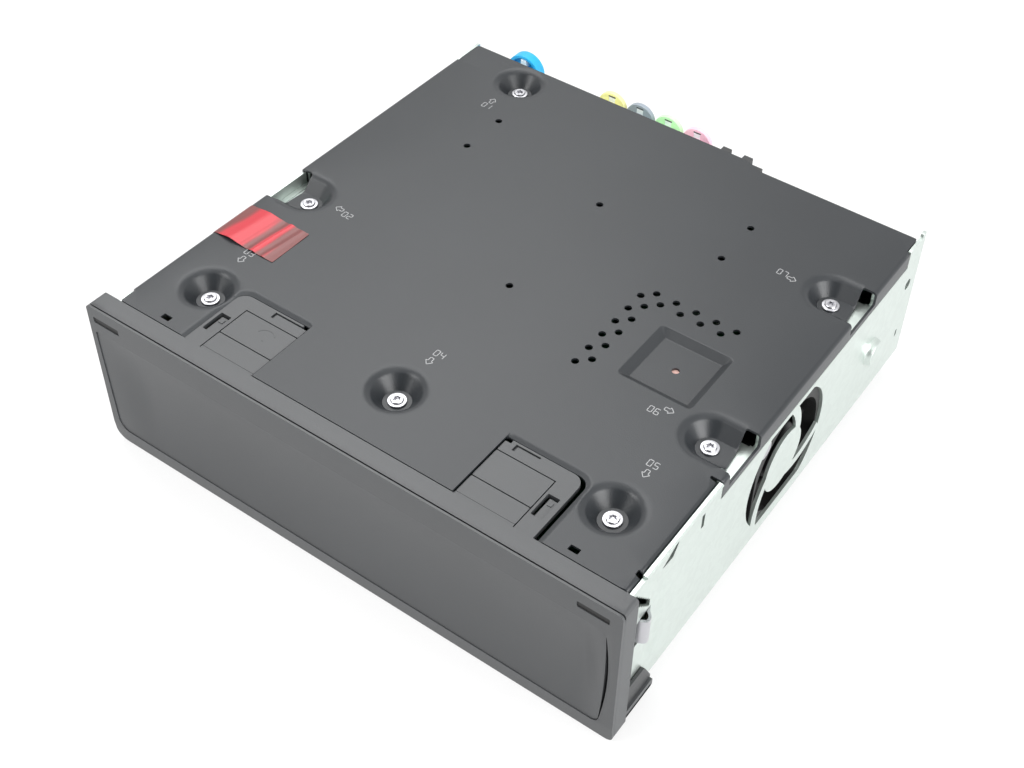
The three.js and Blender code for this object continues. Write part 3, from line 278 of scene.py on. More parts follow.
def turned_data(rows, columns=32):
    """A closed turned body from rings of (radius, height); a radius may be a function of the angle."""
    angles = np.arange(columns) * 2 * math.pi / columns
    verts = []
    for radius, height in rows:
        r = np.array([radius(t) for t in angles]) if callable(radius) else np.full(columns, radius)
        z = np.full(columns, height)
        verts.append(np.stack((r * np.cos(angles), r * np.sin(angles), z), axis=1))
    faces = []
    for k in range(len(rows) - 1):
        for j in range(columns):
            n = (j + 1) % columns
            low, high = k * columns, (k + 1) * columns
            faces.append((low + j, low + n, high + n, high + j))
    faces.append(tuple(reversed(range(columns))))
    last = (len(rows) - 1) * columns
    faces.append(tuple(last + j for j in range(columns)))
    return np.vstack(verts), faces


def moved(data, x=0.0, y=0.0, z=0.0):
    verts, faces = data
    return verts + np.array((x, y, z)), faces


def along_x(data):
    """A body turned about Z laid down so that its height runs to the right."""
    verts, faces = data
    return np.stack((verts[:, 2], verts[:, 0], verts[:, 1]), axis=1), faces


def upright(a, b, h):
    return np.stack((a, b, h), axis=1)


def facing_front(a, b, h):
    return np.stack((a, h, b), axis=1)


def facing_side(a, b, h):
    return np.stack((h, a, b), axis=1)


def plate_data(loop, low, high, place, holes=(), points=()):
    """A flat plate with a closed outline."""
    return slab_data(loop, level(high), level(low), place, holes, points)


def block_data(x0, x1, y0, y1, z0, z1, radius=0.0):
    return plate_data(box_loop(x0, x1, y0, y1, radius), z0, z1, upright)


def combined(parts):
    """Several bodies as one mesh."""
    verts = []
    faces = []
    start = 0
    for part_verts, part_faces in parts:
        verts.append(part_verts)
        faces += [tuple(i + start for i in f) for f in part_faces]
        start += len(part_verts)
    return np.vstack(verts), faces


def outward(mesh, bevelled=None):
    """Turns all faces out, and marks the edges that a bevel may take where a test is given."""
    work = bmesh.new()
    work.from_mesh(mesh)
    bmesh.ops.recalc_face_normals(work, faces=work.faces)
    if bevelled:
        weight = work.edges.layers.float.new("bevel_weight_edge")
        for edge in work.edges:
            if edge.calc_face_angle(0) < BEVEL_ANGLE:
                continue
            ends = [(np.array(v.co) - ORIGIN) / MM for v in edge.verts]
            taken = bevelled(*ends)
            edge[weight] = 1.0 if taken else 0.0
            edge.smooth = bool(taken)
    work.to_mesh(mesh)
    work.free()


def new_object(name, data):
    """Adds an object to the scene."""
    added = bpy.data.objects.new(name, data)
    bpy.context.scene.collection.objects.link(added)
    return added


def add_piece(name, parts, material, body="case", nodes=(), bevel=0.0, sharp=35, bevelled=None):
    """Makes one object from mesh data in the layout frame, with its material and body, and hides the CAD
    nodes that it stands for.
    """
    verts, faces = combined(parts)
    mesh = bpy.data.meshes.new(name)
    mesh.from_pydata((ORIGIN + verts * MM).tolist(), [], faces)
    mesh.update()
    outward(mesh, bevelled)
    mesh.materials.append(material)
    mesh.polygons.foreach_set("use_smooth", [True] * len(mesh.polygons))
    piece = new_object(name, mesh)
    if bevel > 0:
        edge = piece.modifiers.new("edges", "BEVEL")
        edge.width = bevel * MM
        edge.segments = 2
        edge.limit_method = "WEIGHT" if bevelled else "ANGLE"
        edge.angle_limit = BEVEL_ANGLE
        edge.harden_normals = True
    else:
        mesh.set_sharp_from_angle(angle=math.radians(sharp))
    if nodes:
        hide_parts(*nodes)
    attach(piece, body)
    return piece


# Materials
bpy.context.scene.view_settings.view_transform = "Standard"


def screen(red, green, blue):
    """A linear colour from plain screen values, 0 to 255."""
    return tuple(((s / 255 + 0.055) / 1.055) ** 2.4 for s in (red, green, blue))


def grey(value, blue=0.0):
    """A linear grey from a plain screen value, with a touch of blue."""
    return screen(value - blue, value, value + blue)


def ranged(tree, value, source, target=(0, 1), eased_ends=False):
    """Turns a value's range into another one."""
    step = tree.nodes.new("ShaderNodeMapRange")
    if eased_ends:
        step.interpolation_type = "SMOOTHSTEP"
    for label, number in zip(("From Min", "From Max", "To Min", "To Max"), (*source, *target)):
        step.inputs[label].default_value = number
    tree.links.new(value, step.inputs["Value"])
    return step.outputs["Result"]


def reckoned(tree, operation, first, second, clamp=False):
    """Adds or multiplies two values."""
    step = tree.nodes.new("ShaderNodeMath")
    step.operation = operation
    step.use_clamp = clamp
    tree.links.new(first, step.inputs[0])
    tree.links.new(second, step.inputs[1])
    return step.outputs[0]


def textured(tree, kind, size, detail=None):
    """A texture node with cells of a size in millimetres, fixed to the object."""
    place = tree.nodes.new("ShaderNodeTexCoord")
    texture = tree.nodes.new(kind)
    texture.inputs["Scale"].default_value = 1 / (size * MM)
    if detail is not None:
        texture.inputs["Detail"].default_value = detail
    tree.links.new(place.outputs["Object"], texture.inputs["Vector"])
    return texture.outputs


MOTTLE_RANGE = (0.3, 0.7)
MOTTLE_DETAIL = 4
GRAIN_DETAIL = 2


def finish(name, colour, roughness, metallic=0.0, mottle=0.0, mottle_size=12.0, grain=0.0,
           grain_size=0.25, specular=0.5, spangle=0.0):
    """A procedural surface: a colour that drifts a little, crystal spangle, and a fine grain in the bump."""
    material = bpy.data.materials.new(name)
    material.use_nodes = True
    tree = material.node_tree
    shader = tree.nodes["Principled BSDF"]
    shader.inputs["Roughness"].default_value = roughness
    shader.inputs["Metallic"].default_value = metallic
    shader.inputs["Specular IOR Level"].default_value = specular
    shader.inputs["Base Color"].default_value = (*colour, 1)
    if mottle:
        if spangle:
            value = textured(tree, "ShaderNodeTexVoronoi", spangle)["Color"]
        else:
            value = textured(tree, "ShaderNodeTexNoise", mottle_size, MOTTLE_DETAIL)["Fac"]
        tint = tree.nodes.new("ShaderNodeVectorMath")
        tint.operation = "SCALE"
        tint.inputs[0].default_value = colour
        tree.links.new(ranged(tree, value, MOTTLE_RANGE, (1 - mottle, 1 + mottle)), tint.inputs["Scale"])
        tree.links.new(tint.outputs["Vector"], shader.inputs["Base Color"])
    if grain:
        speck = textured(tree, "ShaderNodeTexNoise", grain_size, GRAIN_DETAIL)
        bump = tree.nodes.new("ShaderNodeBump")
        bump.inputs["Strength"].default_value = grain
        bump.inputs["Distance"].default_value = grain_size * MM
        tree.links.new(speck["Fac"], bump.inputs["Height"])
        tree.links.new(bump.outputs["Normal"], shader.inputs["Normal"])
    return material


# Painted light: the film's colour where it lies flat and where it lifts, brighter where raised as light
# through the film would show
FILM_PAINTED_LIGHT = {"flat": screen(118, 62, 60), "raised": screen(196, 46, 58), "lift": (0.26, 0.62)}


def film_with_painted_lift_light(name):
    """Red film with painted light: brighter red where it stands off the dark sheet, standing in for light
    through the lifted film, and brownish where it lies on it.
    """
    material = finish(name, screen(200, 60, 66), 0.28, grain=0.05, grain_size=0.8)
    tree = material.node_tree
    place = tree.nodes.new("ShaderNodeTexCoord")
    split = tree.nodes.new("ShaderNodeSeparateXYZ")
    tree.links.new(place.outputs["Object"], split.inputs["Vector"])
    heights = [ORIGIN[2] + lift * MM for lift in FILM_PAINTED_LIGHT["lift"]]
    colours = tree.nodes.new("ShaderNodeMix")
    colours.data_type = "RGBA"
    colours.inputs["A"].default_value = (*FILM_PAINTED_LIGHT["flat"], 1)
    colours.inputs["B"].default_value = (*FILM_PAINTED_LIGHT["raised"], 1)
    tree.links.new(ranged(tree, split.outputs["Z"], heights, eased_ends=True), colours.inputs["Factor"])
    tree.links.new(colours.outputs["Result"], tree.nodes["Principled BSDF"].inputs["Base Color"])
    return material


PAINT = finish("black_paint", grey(46, 3), 0.34, mottle=0.05, mottle_size=40, grain=0.1, grain_size=0.35)
PLASTIC = finish("black_plastic", grey(64, 2), 0.47, mottle=0.04, mottle_size=30, grain=0.12, grain_size=0.3,
                 specular=0.8)
ZINC = finish("zinc_sheet", screen(206, 215, 210), 0.36, metallic=0.85, mottle=0.02, grain=0.04,
              grain_size=1.5, spangle=2.2)
BRIGHT = finish("bright_screw", screen(196, 196, 200), 0.28, metallic=1.0, mottle=0.03, mottle_size=2)
SEAL = film_with_painted_lift_light("red_film_painted_light")
# Near-black: the fan's own colour, and painted shade in the key slots
FAN_BLACK_AND_SLOT_SHADE = finish("fan_black", grey(22), 0.55, mottle=0.05)
# A darker black: the connectors' own colour, and painted shade on the foot gussets and over the socket keys
DARK_PLASTIC_AND_SHADE = finish("dark_plastic_and_painted_shade", grey(58, 1), 0.5, mottle=0.05)
GREEN = finish("solder_mask", screen(28, 92, 56), 0.4, mottle=0.1, mottle_size=8)
BRASS = finish("brass", screen(214, 178, 96), 0.3, metallic=0.9, mottle=0.05)
ALUMINIUM = finish("aluminium", screen(184, 187, 190), 0.4, metallic=0.9, mottle=0.05)
CHIP = finish("chip_black", grey(40), 0.45, mottle=0.05)
PAD = finish("pad_pink", screen(228, 186, 176), 0.8, mottle=0.06)
CAPACITOR = finish("capacitor_sleeve", screen(44, 66, 104), 0.35, mottle=0.04)
MARK = finish("pale_mark", grey(172, 1), 0.6, mottle=0.1, mottle_size=1)
WHITE = finish("white_key", screen(238, 242, 244), 0.4, mottle=0.03)
SOCKETS = {
    "blue": finish("socket_blue", screen(44, 178, 232), 0.4, mottle=0.05),
    "yellow": finish("socket_yellow", screen(255, 250, 176), 0.45, mottle=0.05),
    "grey": finish("socket_grey", screen(156, 166, 176), 0.45, mottle=0.05),
    "green": finish("socket_green", screen(206, 255, 200), 0.45, mottle=0.05),
    "pink": finish("socket_pink", screen(255, 206, 224), 0.45, mottle=0.05),
}


# Camera, light and floor, in metres in the shared frame
CAMERA = {
    "lens": 52.11,
    "sensor": 36,
    "shift": (-0.0853, -0.0720),
    "near": 0.01,
    "place": (0.195175, -0.286287, 0.357614),
    "forward": (-0.37920, 0.62819, -0.67940),
    "above": (-0.40964, 0.54440, 0.73200),
}


def add_camera():
    data = bpy.data.cameras.new("camera")
    data.lens = CAMERA["lens"]
    data.sensor_width = CAMERA["sensor"]
    data.shift_x, data.shift_y = CAMERA["shift"]
    data.clip_start = CAMERA["near"]
    camera = new_object("camera", data)
    forward = Vector(CAMERA["forward"]).normalized()
    side = forward.cross(Vector(CAMERA["above"]).normalized()).normalized()
    above = side.cross(forward)
    turn = Matrix((side, above, -forward)).transposed()
    camera.matrix_world = Matrix.Translation(CAMERA["place"]) @ turn.to_4x4()
    bpy.context.scene.camera = camera


AIM = (0, 0, 0.03)
LIGHTS = {
    "key": ((-0.42, 0.3, 0.95), 0.8, 5.8),
    "overhead": ((0.2, -0.3, 1.2), 1.0, 2),
    "side": ((1.1, -0.2, 0.4), 0.9, 15),
    "front": ((-0.6, -0.8, 0.75), 0.6, 6),
}


def add_light(name, place, size, power):
    """A square lamp of a size in metres and a power in watts, aimed at the unit."""
    data = bpy.data.lights.new(name, "AREA")
    data.shape = "SQUARE"
    data.size = size
    data.energy = power
    lamp = new_object(name, data)
    lamp.location = place
    lamp.rotation_euler = (Vector(place) - Vector(AIM)).to_track_quat("Z", "Y").to_euler()


def sum_of(tree, *values, clamp=False):
    """Adds up values in a node tree."""
    total = values[0]
    for value in values[1:]:
        total = reckoned(tree, "ADD", total, value, clamp)
    return total


STUDIO = {"fill": 0.55, "white": 1.0, "dark": 0.0, "dark_side": (0.0, -0.86, 0.51), "from": 0.6, "to": 0.9}


def add_world():
    """A white studio with a darker side towards the front, which only gloss shows."""
    world = bpy.data.worlds.new("studio")
    world.use_nodes = True
    bpy.context.scene.world = world
    tree = world.node_tree
    background = tree.nodes["Background"]
    background.inputs["Color"].default_value = (1, 1, 1, 1)
    paths = tree.nodes.new("ShaderNodeLightPath")
    plain = sum_of(tree, paths.outputs["Is Camera Ray"], paths.outputs["Is Transmission Ray"], clamp=True)
    place = tree.nodes.new("ShaderNodeTexCoord")
    toward = tree.nodes.new("ShaderNodeVectorMath")
    toward.operation = "DOT_PRODUCT"
    toward.inputs[1].default_value = STUDIO["dark_side"]
    tree.links.new(place.outputs["Generated"], toward.inputs[0])
    tones = (STUDIO["white"] - STUDIO["fill"], STUDIO["dark"] - STUDIO["fill"])
    shade = ranged(tree, toward.outputs["Value"], (STUDIO["from"], STUDIO["to"]), tones, eased_ends=True)
    gloss = reckoned(tree, "MULTIPLY", shade, paths.outputs["Is Glossy Ray"])
    even = ranged(tree, plain, (0, 1), (STUDIO["fill"], STUDIO["white"]))
    strength = reckoned(tree, "ADD", even, gloss)
    tree.links.new(strength, background.inputs["Strength"])


# Colours and glow: first as light falls on it, then as the camera or a gloss sees it
TABLE = {"reach": 3.0, "colours": (0.85, 0.3), "glow": (0.0, 0.7), "roughness": 0.9, "below": 0.2}


def add_floor():
    """A white table: it looks white, lights the unit from below and keeps a soft shadow."""
    reach = TABLE["reach"]
    corners = [(x * reach, y * reach, 0) for x, y in ((-1, -1), (1, -1), (1, 1), (-1, 1))]
    mesh = bpy.data.meshes.new("floor")
    mesh.from_pydata(corners, [], [(0, 1, 2, 3)])
    material = bpy.data.materials.new("floor_white")
    material.use_nodes = True
    tree = material.node_tree
    shader = tree.nodes["Principled BSDF"]
    shader.inputs["Roughness"].default_value = TABLE["roughness"]
    shader.inputs["Specular IOR Level"].default_value = 0.0
    shader.inputs["Emission Color"].default_value = (1, 1, 1, 1)
    paths = tree.nodes.new("ShaderNodeLightPath")
    seen = sum_of(
        tree,
        paths.outputs["Is Camera Ray"],
        paths.outputs["Is Glossy Ray"],
        paths.outputs["Is Transmission Ray"],
        clamp=True,
    )
    for socket, tones in (("Base Color", TABLE["colours"]), ("Emission Strength", TABLE["glow"])):
        tree.links.new(ranged(tree, seen, (0, 1), tones), shader.inputs[socket])
    mesh.materials.append(material)
    floor = new_object("floor", mesh)
    floor.location.z = cad_box[0][2] - TABLE["below"] * MM


add_camera()
add_world()
add_floor()
for light, settings in LIGHTS.items():
    add_light(light, *settings)


# Folded sheet
def folded(base, turn, edges, radius=BEND):
    """Lays a flat pattern out: a is X between the two edges, and past them the sheet bends round and on."""
    def place(a, b, h):
        x = a.astype(float).copy()
        z = base - turn * h
        for side, edge in zip((-1, 1), edges):
            start = edge(b) if callable(edge) else edge
            past = (a - start) * side
            bent = past > 0
            angle = np.clip(past / radius, 0, QUARTER)
            run = np.maximum(past - radius * QUARTER, 0)
            bent_x = start + side * (radius + h) * np.sin(angle)
            bent_z = base + turn * (radius - (radius + h) * np.cos(angle) + run)
            x = np.where(bent, bent_x, x)
            z = np.where(bent, bent_z, z)
        return np.stack((x, b, z), axis=1)
    return place


def bend_cuts(side, edge):
    """Places across a bend, from its start to its end."""
    return [edge + side * BEND * QUARTER * k / BEND_CUTS for k in range(BEND_CUTS + 1)]


def smooth(t):
    t = np.clip(t, 0, 1)
    return t * t * (3 - 2 * t)


def rounded_square(a, b, x, y, half, corner):
    """Distance from the edge of a square with round corners, below zero inside it."""
    p = np.abs(a - x) - (half - corner)
    q = np.abs(b - y) - (half - corner)
    outside = np.hypot(np.maximum(p, 0), np.maximum(q, 0))
    return outside + np.minimum(np.maximum(p, q), 0) - corner


# Top cover
screw_places = {i: middle(f"cover_screw_{i}")[:2] for i in range(1, 8)}
EDGE_SIDES = {2: -1, 6: 1, 7: 1}
COVER_HOLES = [(40.8, 146.8), (40.8, 129.0), (93.8, 130.0), (139.0, 149.4), (138.9, 131.0), (93.8, 81.0)]
SQUARE_HOLES = [(22.7, 10.0), (166.2, 10.3)]
VENT = {"x": 128.0, "y": 66.3, "pitch": 7.0, "stagger": 3.5, "columns": 6, "rows": 4, "radius": 1.2}
SIDE_NICK = {"low": 12.9, "high": 14.7, "reach": 0.3}
FRONT_BEND = {"edge": RIGHT - 2.6, "end": RIGHT - 0.7, "relief": (51.4, 52.4), "relief_reach": 1.4}
TONGUE = {
    "left": {
        "outer": 32.5, "inner": 58.2, "pad": 38.7, "gap": 0.15,
        "window": (33.4, 37.3, 13.5, 21.4), "slit": (46.0, 56.6),
    },
    "right": {
        "outer": 155.4, "inner": 129.9, "pad": 149.0, "gap": 1.5,
        "window": (150.1, 153.9, 13.6, 21.9), "slit": (133.2, 141.4),
    },
    "back": 31.5, "top": -0.5, "skin": 0.8, "base": 1.0, "groove": 0.34, "corner": 3.5,
    "bands": (8.4, 15.0, 26.5), "inner_gap": 0.5, "slit_width": 0.6, "slit_leg": 1.8,
    "slope": 1.5, "slope_drop": 0.7, "notch": 1.8, "notch_depth": 1.3, "notch_corner": 0.2, "overlap": 0.6,
    "slit_behind": 0.7, "slit_leg_width": 0.9, "pad_corner": 0.3, "pad_drops": (0.02, 0.04), "pad_gap": 0.12,
}
SCREW_HOLE = 1.5
SQUARE_HOLE = {"half": 1.6, "front": 0.9, "rear": 1.0, "corner": 0.2}
COVER_CORNERS = {"tight": 0.2, "front": 0.3, "square": 0.5, "rear": 0.8, "flange": 1.2, "step": 2.5}
DIMPLE_RINGS = (2.0, 3.0, 4.1, 4.3, 4.8, 5.6, 6.4, 7.0, 7.27, 7.43, 7.7, 8.1, 8.6, 9.2, DIMPLE["rim"], 10.6)
INNER_RING = {"radius": 3.5, "count": 16}
DIMPLE_COUNT = 56
TROUGH_COLUMNS = 8
RECESS_LINES = (-1.2, -0.25, 0, 0.25)
TONGUE_BORDER = (0.5, 1.0, TONGUE["slope"], 2.0)
CREST_FACETS = (32, 60)
CREST_END = 0.2
COVER_STEPS = {"outline": 3.0, "recess": 2.5, "border": 1.5}
MARGIN = 0.3
FAR = 9.0


def right_edge(b):
    """Where the cover starts to bend down on the right: further in beside the front."""
    return np.where(b < sum(FRONT_BEND["relief"]) / 2, FRONT_BEND["edge"], RIGHT - BEND)


COVER_PLACE = folded(0.0, -1, (LEFT + BEND, right_edge))


def dimple_distance(a, b, index):
    """Distance from a screw; beside the cover's edge its dimple runs out sideways as a trough."""
    x, y = screw_places[index]
    across = a - x
    side = EDGE_SIDES.get(index)
    if side:
        across = np.where(across * side > 0, 0, across)
    return np.hypot(across, b - y)


def dimple_drop(distance):
    """A flat floor, a steep cone with a crisp crest, and a soft flare round it."""
    depth, lip = DIMPLE["depth"], DIMPLE["lip"]
    cone = np.interp(distance, [DIMPLE["floor"], DIMPLE["crest"]], [depth, lip])
    flare = lip * np.clip((DIMPLE["rim"] - distance) / (DIMPLE["rim"] - DIMPLE["crest"]), 0, 1) ** 2
    return np.where(distance < DIMPLE["crest"], cone, flare)


def past_trough(a, b, index):
    """Which points lie past a trough's slanted end, on the bend and the flange."""
    side = EDGE_SIDES[index]
    half = TROUGH["half"]
    share = np.clip((b - screw_places[index][1] + half) / (2 * half), 0, 1)
    end = TROUGH["front"] + (TROUGH["rear"] - TROUGH["front"]) * share
    return (a - case_x(side)) * side + end > TROUGH["slack"]


def tongue_opening(key):
    """A tongue's opening in the cover: its low and high X, and its back."""
    size = TONGUE[key]
    sign = -1 if key == "left" else 1
    outer = size["outer"] + sign * size["gap"]
    inner = size["inner"] - sign * TONGUE["inner_gap"]
    return min(outer, inner), max(outer, inner), TONGUE["back"] + TONGUE["groove"]


def tongue_distance(a, b, key):
    """Distance outside a tongue's opening on its outer side and behind it."""
    low, high, back = tongue_opening(key)
    round_off = TONGUE["corner"]
    if key == "left":
        p = np.where(a > high, FAR, low - a)
    else:
        p = np.where(a < low, FAR, a - high)
    q = b - back
    corner = np.hypot(np.maximum(p + round_off, 0), np.maximum(q + round_off, 0)) - round_off
    return np.where((p > -round_off) & (q > -round_off), corner, np.maximum(p, q))


def cover_height(a, b):
    """The cover's height with its dimples, troughs, recess and the slopes round the tongues."""
    drop = np.zeros(len(a))
    for index in screw_places:
        low = dimple_drop(dimple_distance(a, b, index))
        if index in EDGE_SIDES:
            low = np.where(past_trough(a, b, index), 0, low)
        drop = np.maximum(drop, low)
    away = rounded_square(a, b, RECESS["x"], RECESS["y"], RECESS["half"], RECESS["corner"])
    slope = RECESS["half"] - RECESS["floor"]
    drop = np.maximum(drop, RECESS["depth"] * np.clip(-away / slope, 0, 1))
    for key in ("left", "right"):
        share = 1 - np.clip(tongue_distance(a, b, key), 0, None) / TONGUE["slope"]
        drop = np.maximum(drop, TONGUE["slope_drop"] * np.clip(share, 0, 1))
    return -drop


def flange_end(side):
    """Where a flange's flat pattern ends: its run past the bend."""
    return bend_x(side) + side * (BEND_GAIN + FLANGE["drop"])


def cover_outline():
    """The cover's flat pattern, with the flanges laid out flat."""
    left_end, right_end = flange_end(-1), flange_end(1)
    left, right = bend_x(-1), bend_x(1)
    stepped = REAR - STEP["depth"]
    r1 = FLANGE["right"][1]
    l0, l1 = FLANGE["left"]
    end = FRONT_BEND["end"]
    relief = FRONT_BEND["relief"]
    tight, flange, rear, step = (COVER_CORNERS[key] for key in ("tight", "flange", "rear", "step"))
    inner = FRONT_BEND["edge"] - FRONT_BEND["relief_reach"]
    nick = FRONT_BEND["edge"] - SIDE_NICK["reach"]
    corners = [(left, FRONT, COVER_CORNERS["front"])]
    square = COVER_CORNERS["square"]
    for key in ("left", "right"):
        low, high, back = tongue_opening(key)
        corners += [
            (low, FRONT, 0),
            (low, back, TONGUE["corner"] if key == "left" else square),
            (high, back, TONGUE["corner"] if key == "right" else square),
            (high, FRONT, 0),
        ]
    corners += [
        (end, FRONT, COVER_CORNERS["front"]),
        (end, SIDE_NICK["low"], tight),
        (nick, SIDE_NICK["low"], tight),
        (nick, SIDE_NICK["high"], tight),
        (end, SIDE_NICK["high"], tight),
        (end, relief[0], tight),
        (inner, relief[0], tight),
        (inner, relief[1], tight),
        (right_end, relief[1], flange),
        (right_end, r1, flange),
        (right, r1, tight),
        (right, stepped, rear),
        (STEP["x"] + STEP["ramp"] / 2, stepped, step),
        (STEP["x"] - STEP["ramp"] / 2, REAR, step),
        (left, REAR, rear),
        (left, l1, tight),
        (left_end, l1, flange),
        (left_end, l0, flange),
        (left, l0, tight),
    ]
    return fine(rounded(corners), COVER_STEPS["outline"])


def vent_places():
    """A staggered double row of vents that runs to the rear and then turns right."""
    places = []
    for i in range(VENT["columns"]):
        for shift in (0, VENT["stagger"]):
            places.append((VENT["x"] + shift, VENT["y"] + i * VENT["pitch"] + shift))
    rear = VENT["y"] + (VENT["columns"] - 1) * VENT["pitch"]
    for i in range(VENT["rows"]):
        for shift in (0, VENT["stagger"]):
            places.append((VENT["x"] + (i + 1) * VENT["pitch"] + shift, rear + shift))
    return places


def trough_slot(index):
    """The slot between a trough's end and the flange below it, wider towards the rear."""
    side = EDGE_SIDES[index]
    front = screw_places[index][1] - TROUGH["half"]
    rear = screw_places[index][1] + TROUGH["half"]
    outer = bend_x(side) + side * (BEND_GAIN + TROUGH["flange_drop"])
    ends = (case_x(side) - side * TROUGH["front"], case_x(side) - side * TROUGH["rear"])
    places = ((ends[0], front), (outer, front), (outer, rear), (ends[1], rear))
    return fine(rounded([(x, y, TROUGH["corner"]) for x, y in places]), TROUGH["step"])


def cover_points():
    """Points that carry the dimples, the recess and the borders, and lines along their crisp edges."""
    points = []
    lines = []
    for index, (x, y) in screw_places.items():
        side = EDGE_SIDES.get(index, 0)
        reach = abs(case_x(side) - x) - TROUGH["rear"]
        for radius in DIMPLE_RINGS:
            count = INNER_RING["count"] if radius < INNER_RING["radius"] else DIMPLE_COUNT
            loop = ring(x, y, radius, count)
            points += [p for p in loop if not side or (p[0] - x) * side < MERGE]
            if side:
                for k in range(1, TROUGH_COLUMNS + 1):
                    along = x + side * reach * k / TROUGH_COLUMNS
                    points += [(along, y - radius), (along, y + radius)]
        for radius in (DIMPLE["floor"], DIMPLE["crest"]):
            if side:
                half = ring(x, y, radius, CREST_FACETS[0], QUARTER, math.pi * side)
                end = x + side * (reach - CREST_END)
                lines.append([(end, half[0][1]), *half, (end, half[-1][1])])
            else:
                lines.append(closed(ring(x, y, radius, CREST_FACETS[1])))
    slope = RECESS["half"] - RECESS["floor"]
    x, y = RECESS["x"], RECESS["y"]
    for inset in (*RECESS_LINES, *(slope - away for away in reversed(RECESS_LINES))):
        half = RECESS["half"] - inset
        corner = max(MARGIN, RECESS["corner"] - inset)
        loop = box_loop(x - half, x + half, y - half, y + half, corner)
        lines.append(closed(fine(loop, COVER_STEPS["recess"])))
    for key in ("left", "right"):
        low, high, back = tongue_opening(key)
        for away in TONGUE_BORDER:
            rear = back + away
            side, end = (low - away, high) if key == "left" else (high + away, low)
            path = [(side, FRONT, 0), (side, rear, TONGUE["corner"] + away), (end, rear, 0)]
            path = rounded(path if key == "left" else path[::-1])
            for start, stop in zip(path, path[1:]):
                points += line(start[0], stop[0], start[1], stop[1], COVER_STEPS["border"])
    return points, lines


def bend_lines():
    """Lines along the bends, so that the sheet follows the arc."""
    lines = []
    for side, (start, end) in ((1, FLANGE["right"]), (-1, FLANGE["left"])):
        cuts = [start + MARGIN]
        for y in sorted(screw_places[i][1] for i, s in EDGE_SIDES.items() if s == side):
            cuts += [y - TROUGH["half"] - MARGIN, y + TROUGH["half"] + MARGIN]
        cuts.append(end - MARGIN)
        for a in bend_cuts(side, bend_x(side)):
            lines += [line(a, a, low, high) for low, high in zip(cuts[::2], cuts[1::2])]
    for a in bend_cuts(1, FRONT_BEND["edge"]):
        if a < FRONT_BEND["end"] - 0.1:
            lines.append(line(a, a, FRONT + MARGIN, SIDE_NICK["low"] - MARGIN))
            lines.append(line(a, a, SIDE_NICK["high"] + MARGIN, FRONT_BEND["relief"][0] - MARGIN))
    return lines


def add_cover():
    outline = cover_outline()
    holes = [ring(x, y, SCREW_HOLE, HOLE_FACETS) for x, y in screw_places.values()]
    holes += [ring(x, y, VENT["radius"], HOLE_FACETS) for x, y in [*COVER_HOLES, *vent_places()]]
    holes.append(ring(RECESS["x"], RECESS["y"], RECESS["hole"], HOLE_FACETS))
    half, corner = SQUARE_HOLE["half"], SQUARE_HOLE["corner"]
    for x, y in SQUARE_HOLES:
        front, rear = y - SQUARE_HOLE["front"], y + SQUARE_HOLE["rear"]
        holes.append(box_loop(x - half, x + half, front, rear, corner, 2))
    holes += [trough_slot(index) for index in EDGE_SIDES]
    points, lines = cover_points()
    data = slab_data(
        outline,
        cover_height,
        lambda a, b: cover_height(a, b) - SHEET,
        COVER_PLACE,
        holes,
        on_sheet(points, outline, holes),
        [*lines, *bend_lines()],
    )
    add_piece("cover_sheet", [data], PAINT, nodes=["top_cover"], bevel=0.12)


add_cover()


# Front frame: a front plate, a set-back core that leaves a dark line along the top, and the deep frame
PLATE = {
    "thick": 0.7, "core": 1.25, "core_inset": 1.3, "top_drop": 0.24, "top_run": 1.9, "bottom_slope": 0.12,
    "overlap": 0.02, "lip_lines": (0.4, 3), "corners": (4.0, 2.6, 1.4),
    "lip_end": 0.5, "top_end": 1.5, "top_step": 6.0, "ledge": (-0.03, 0.06),
}
SEAM = {"start": 0.45, "past_core": 1.0, "top": -0.1, "before_core": 0.2}
TOP_LINES = (PLATE["top_drop"], 0.2, 0.15, 0.1, 0.05)
POCKET = {
    "top": -9.6, "bottom": -51.2, "left": (1.8, 2.8), "right": (183.3, 183.0), "bulge": 1.6, "depth": 5.1,
    "corners": (1.2, 4.0, 2.5, 3.0),
}
KEY_SLOTS = ((2.3, 12.5), (174.3, 184.2))
KEY_SLOT_HEIGHTS = (-5.9, -3.7)
CRESCENT = {"start": 0.1, "width": 2.0, "depth": 0.65, "before": 0.2, "past": 0.4}
SCOOP = {"edge": 0.3, "depth": 3.0, "run_left": 16.0, "run_right": 9.0, "inset": 0.08, "bulge": 0.85}
SCOOP_COLUMNS = np.concatenate((np.linspace(2.6, 22, 18), np.arange(26, 168, 5), np.linspace(171, 183.4, 14)))
SCOOP_ROWS = np.linspace(POCKET["bottom"] + 0.4, POCKET["top"] - 0.4, 29)
FOOT = {
    "length": 13.4, "knee": 16.6, "top": -42.2, "shelf": 1.5, "lip": 2.6, "plate": 0.9, "reach": 2.1,
    "inward": 16.0, "in_frame": 1, "corners": (1.5, 1.0, 0.6, 0.8),
}
# Sizes of the very dark plates in the key slots, which are painted shade
SLOT_SHADE = {"front": 0.3, "back": 0.7, "over": 0.1}
# From the window's left, right, front or rear, and rear edges, and from the skin's underside and top
CLIP = {"front_from": 2, "offsets": (1.1, -0.1, 0.1, -0.9, -0.6, -0.55), "corner": 0.2}
HOOK = {"front_from": 3, "offsets": (1.5, -0.8, -3.2, -1.6, -0.2, -0.35), "corner": 0.2}
TONGUE_ARC = {"x": 50.3, "y": 20.8, "radii": (3.3, 3.0), "starts": (2.8, 0.6), "sweep": 2.2}
TONGUE_DOT = {"x": 50.9, "y": 19.7, "rows": [(0.3, -0.05), (0.3, 0.03), (0.2, 0.06)]}


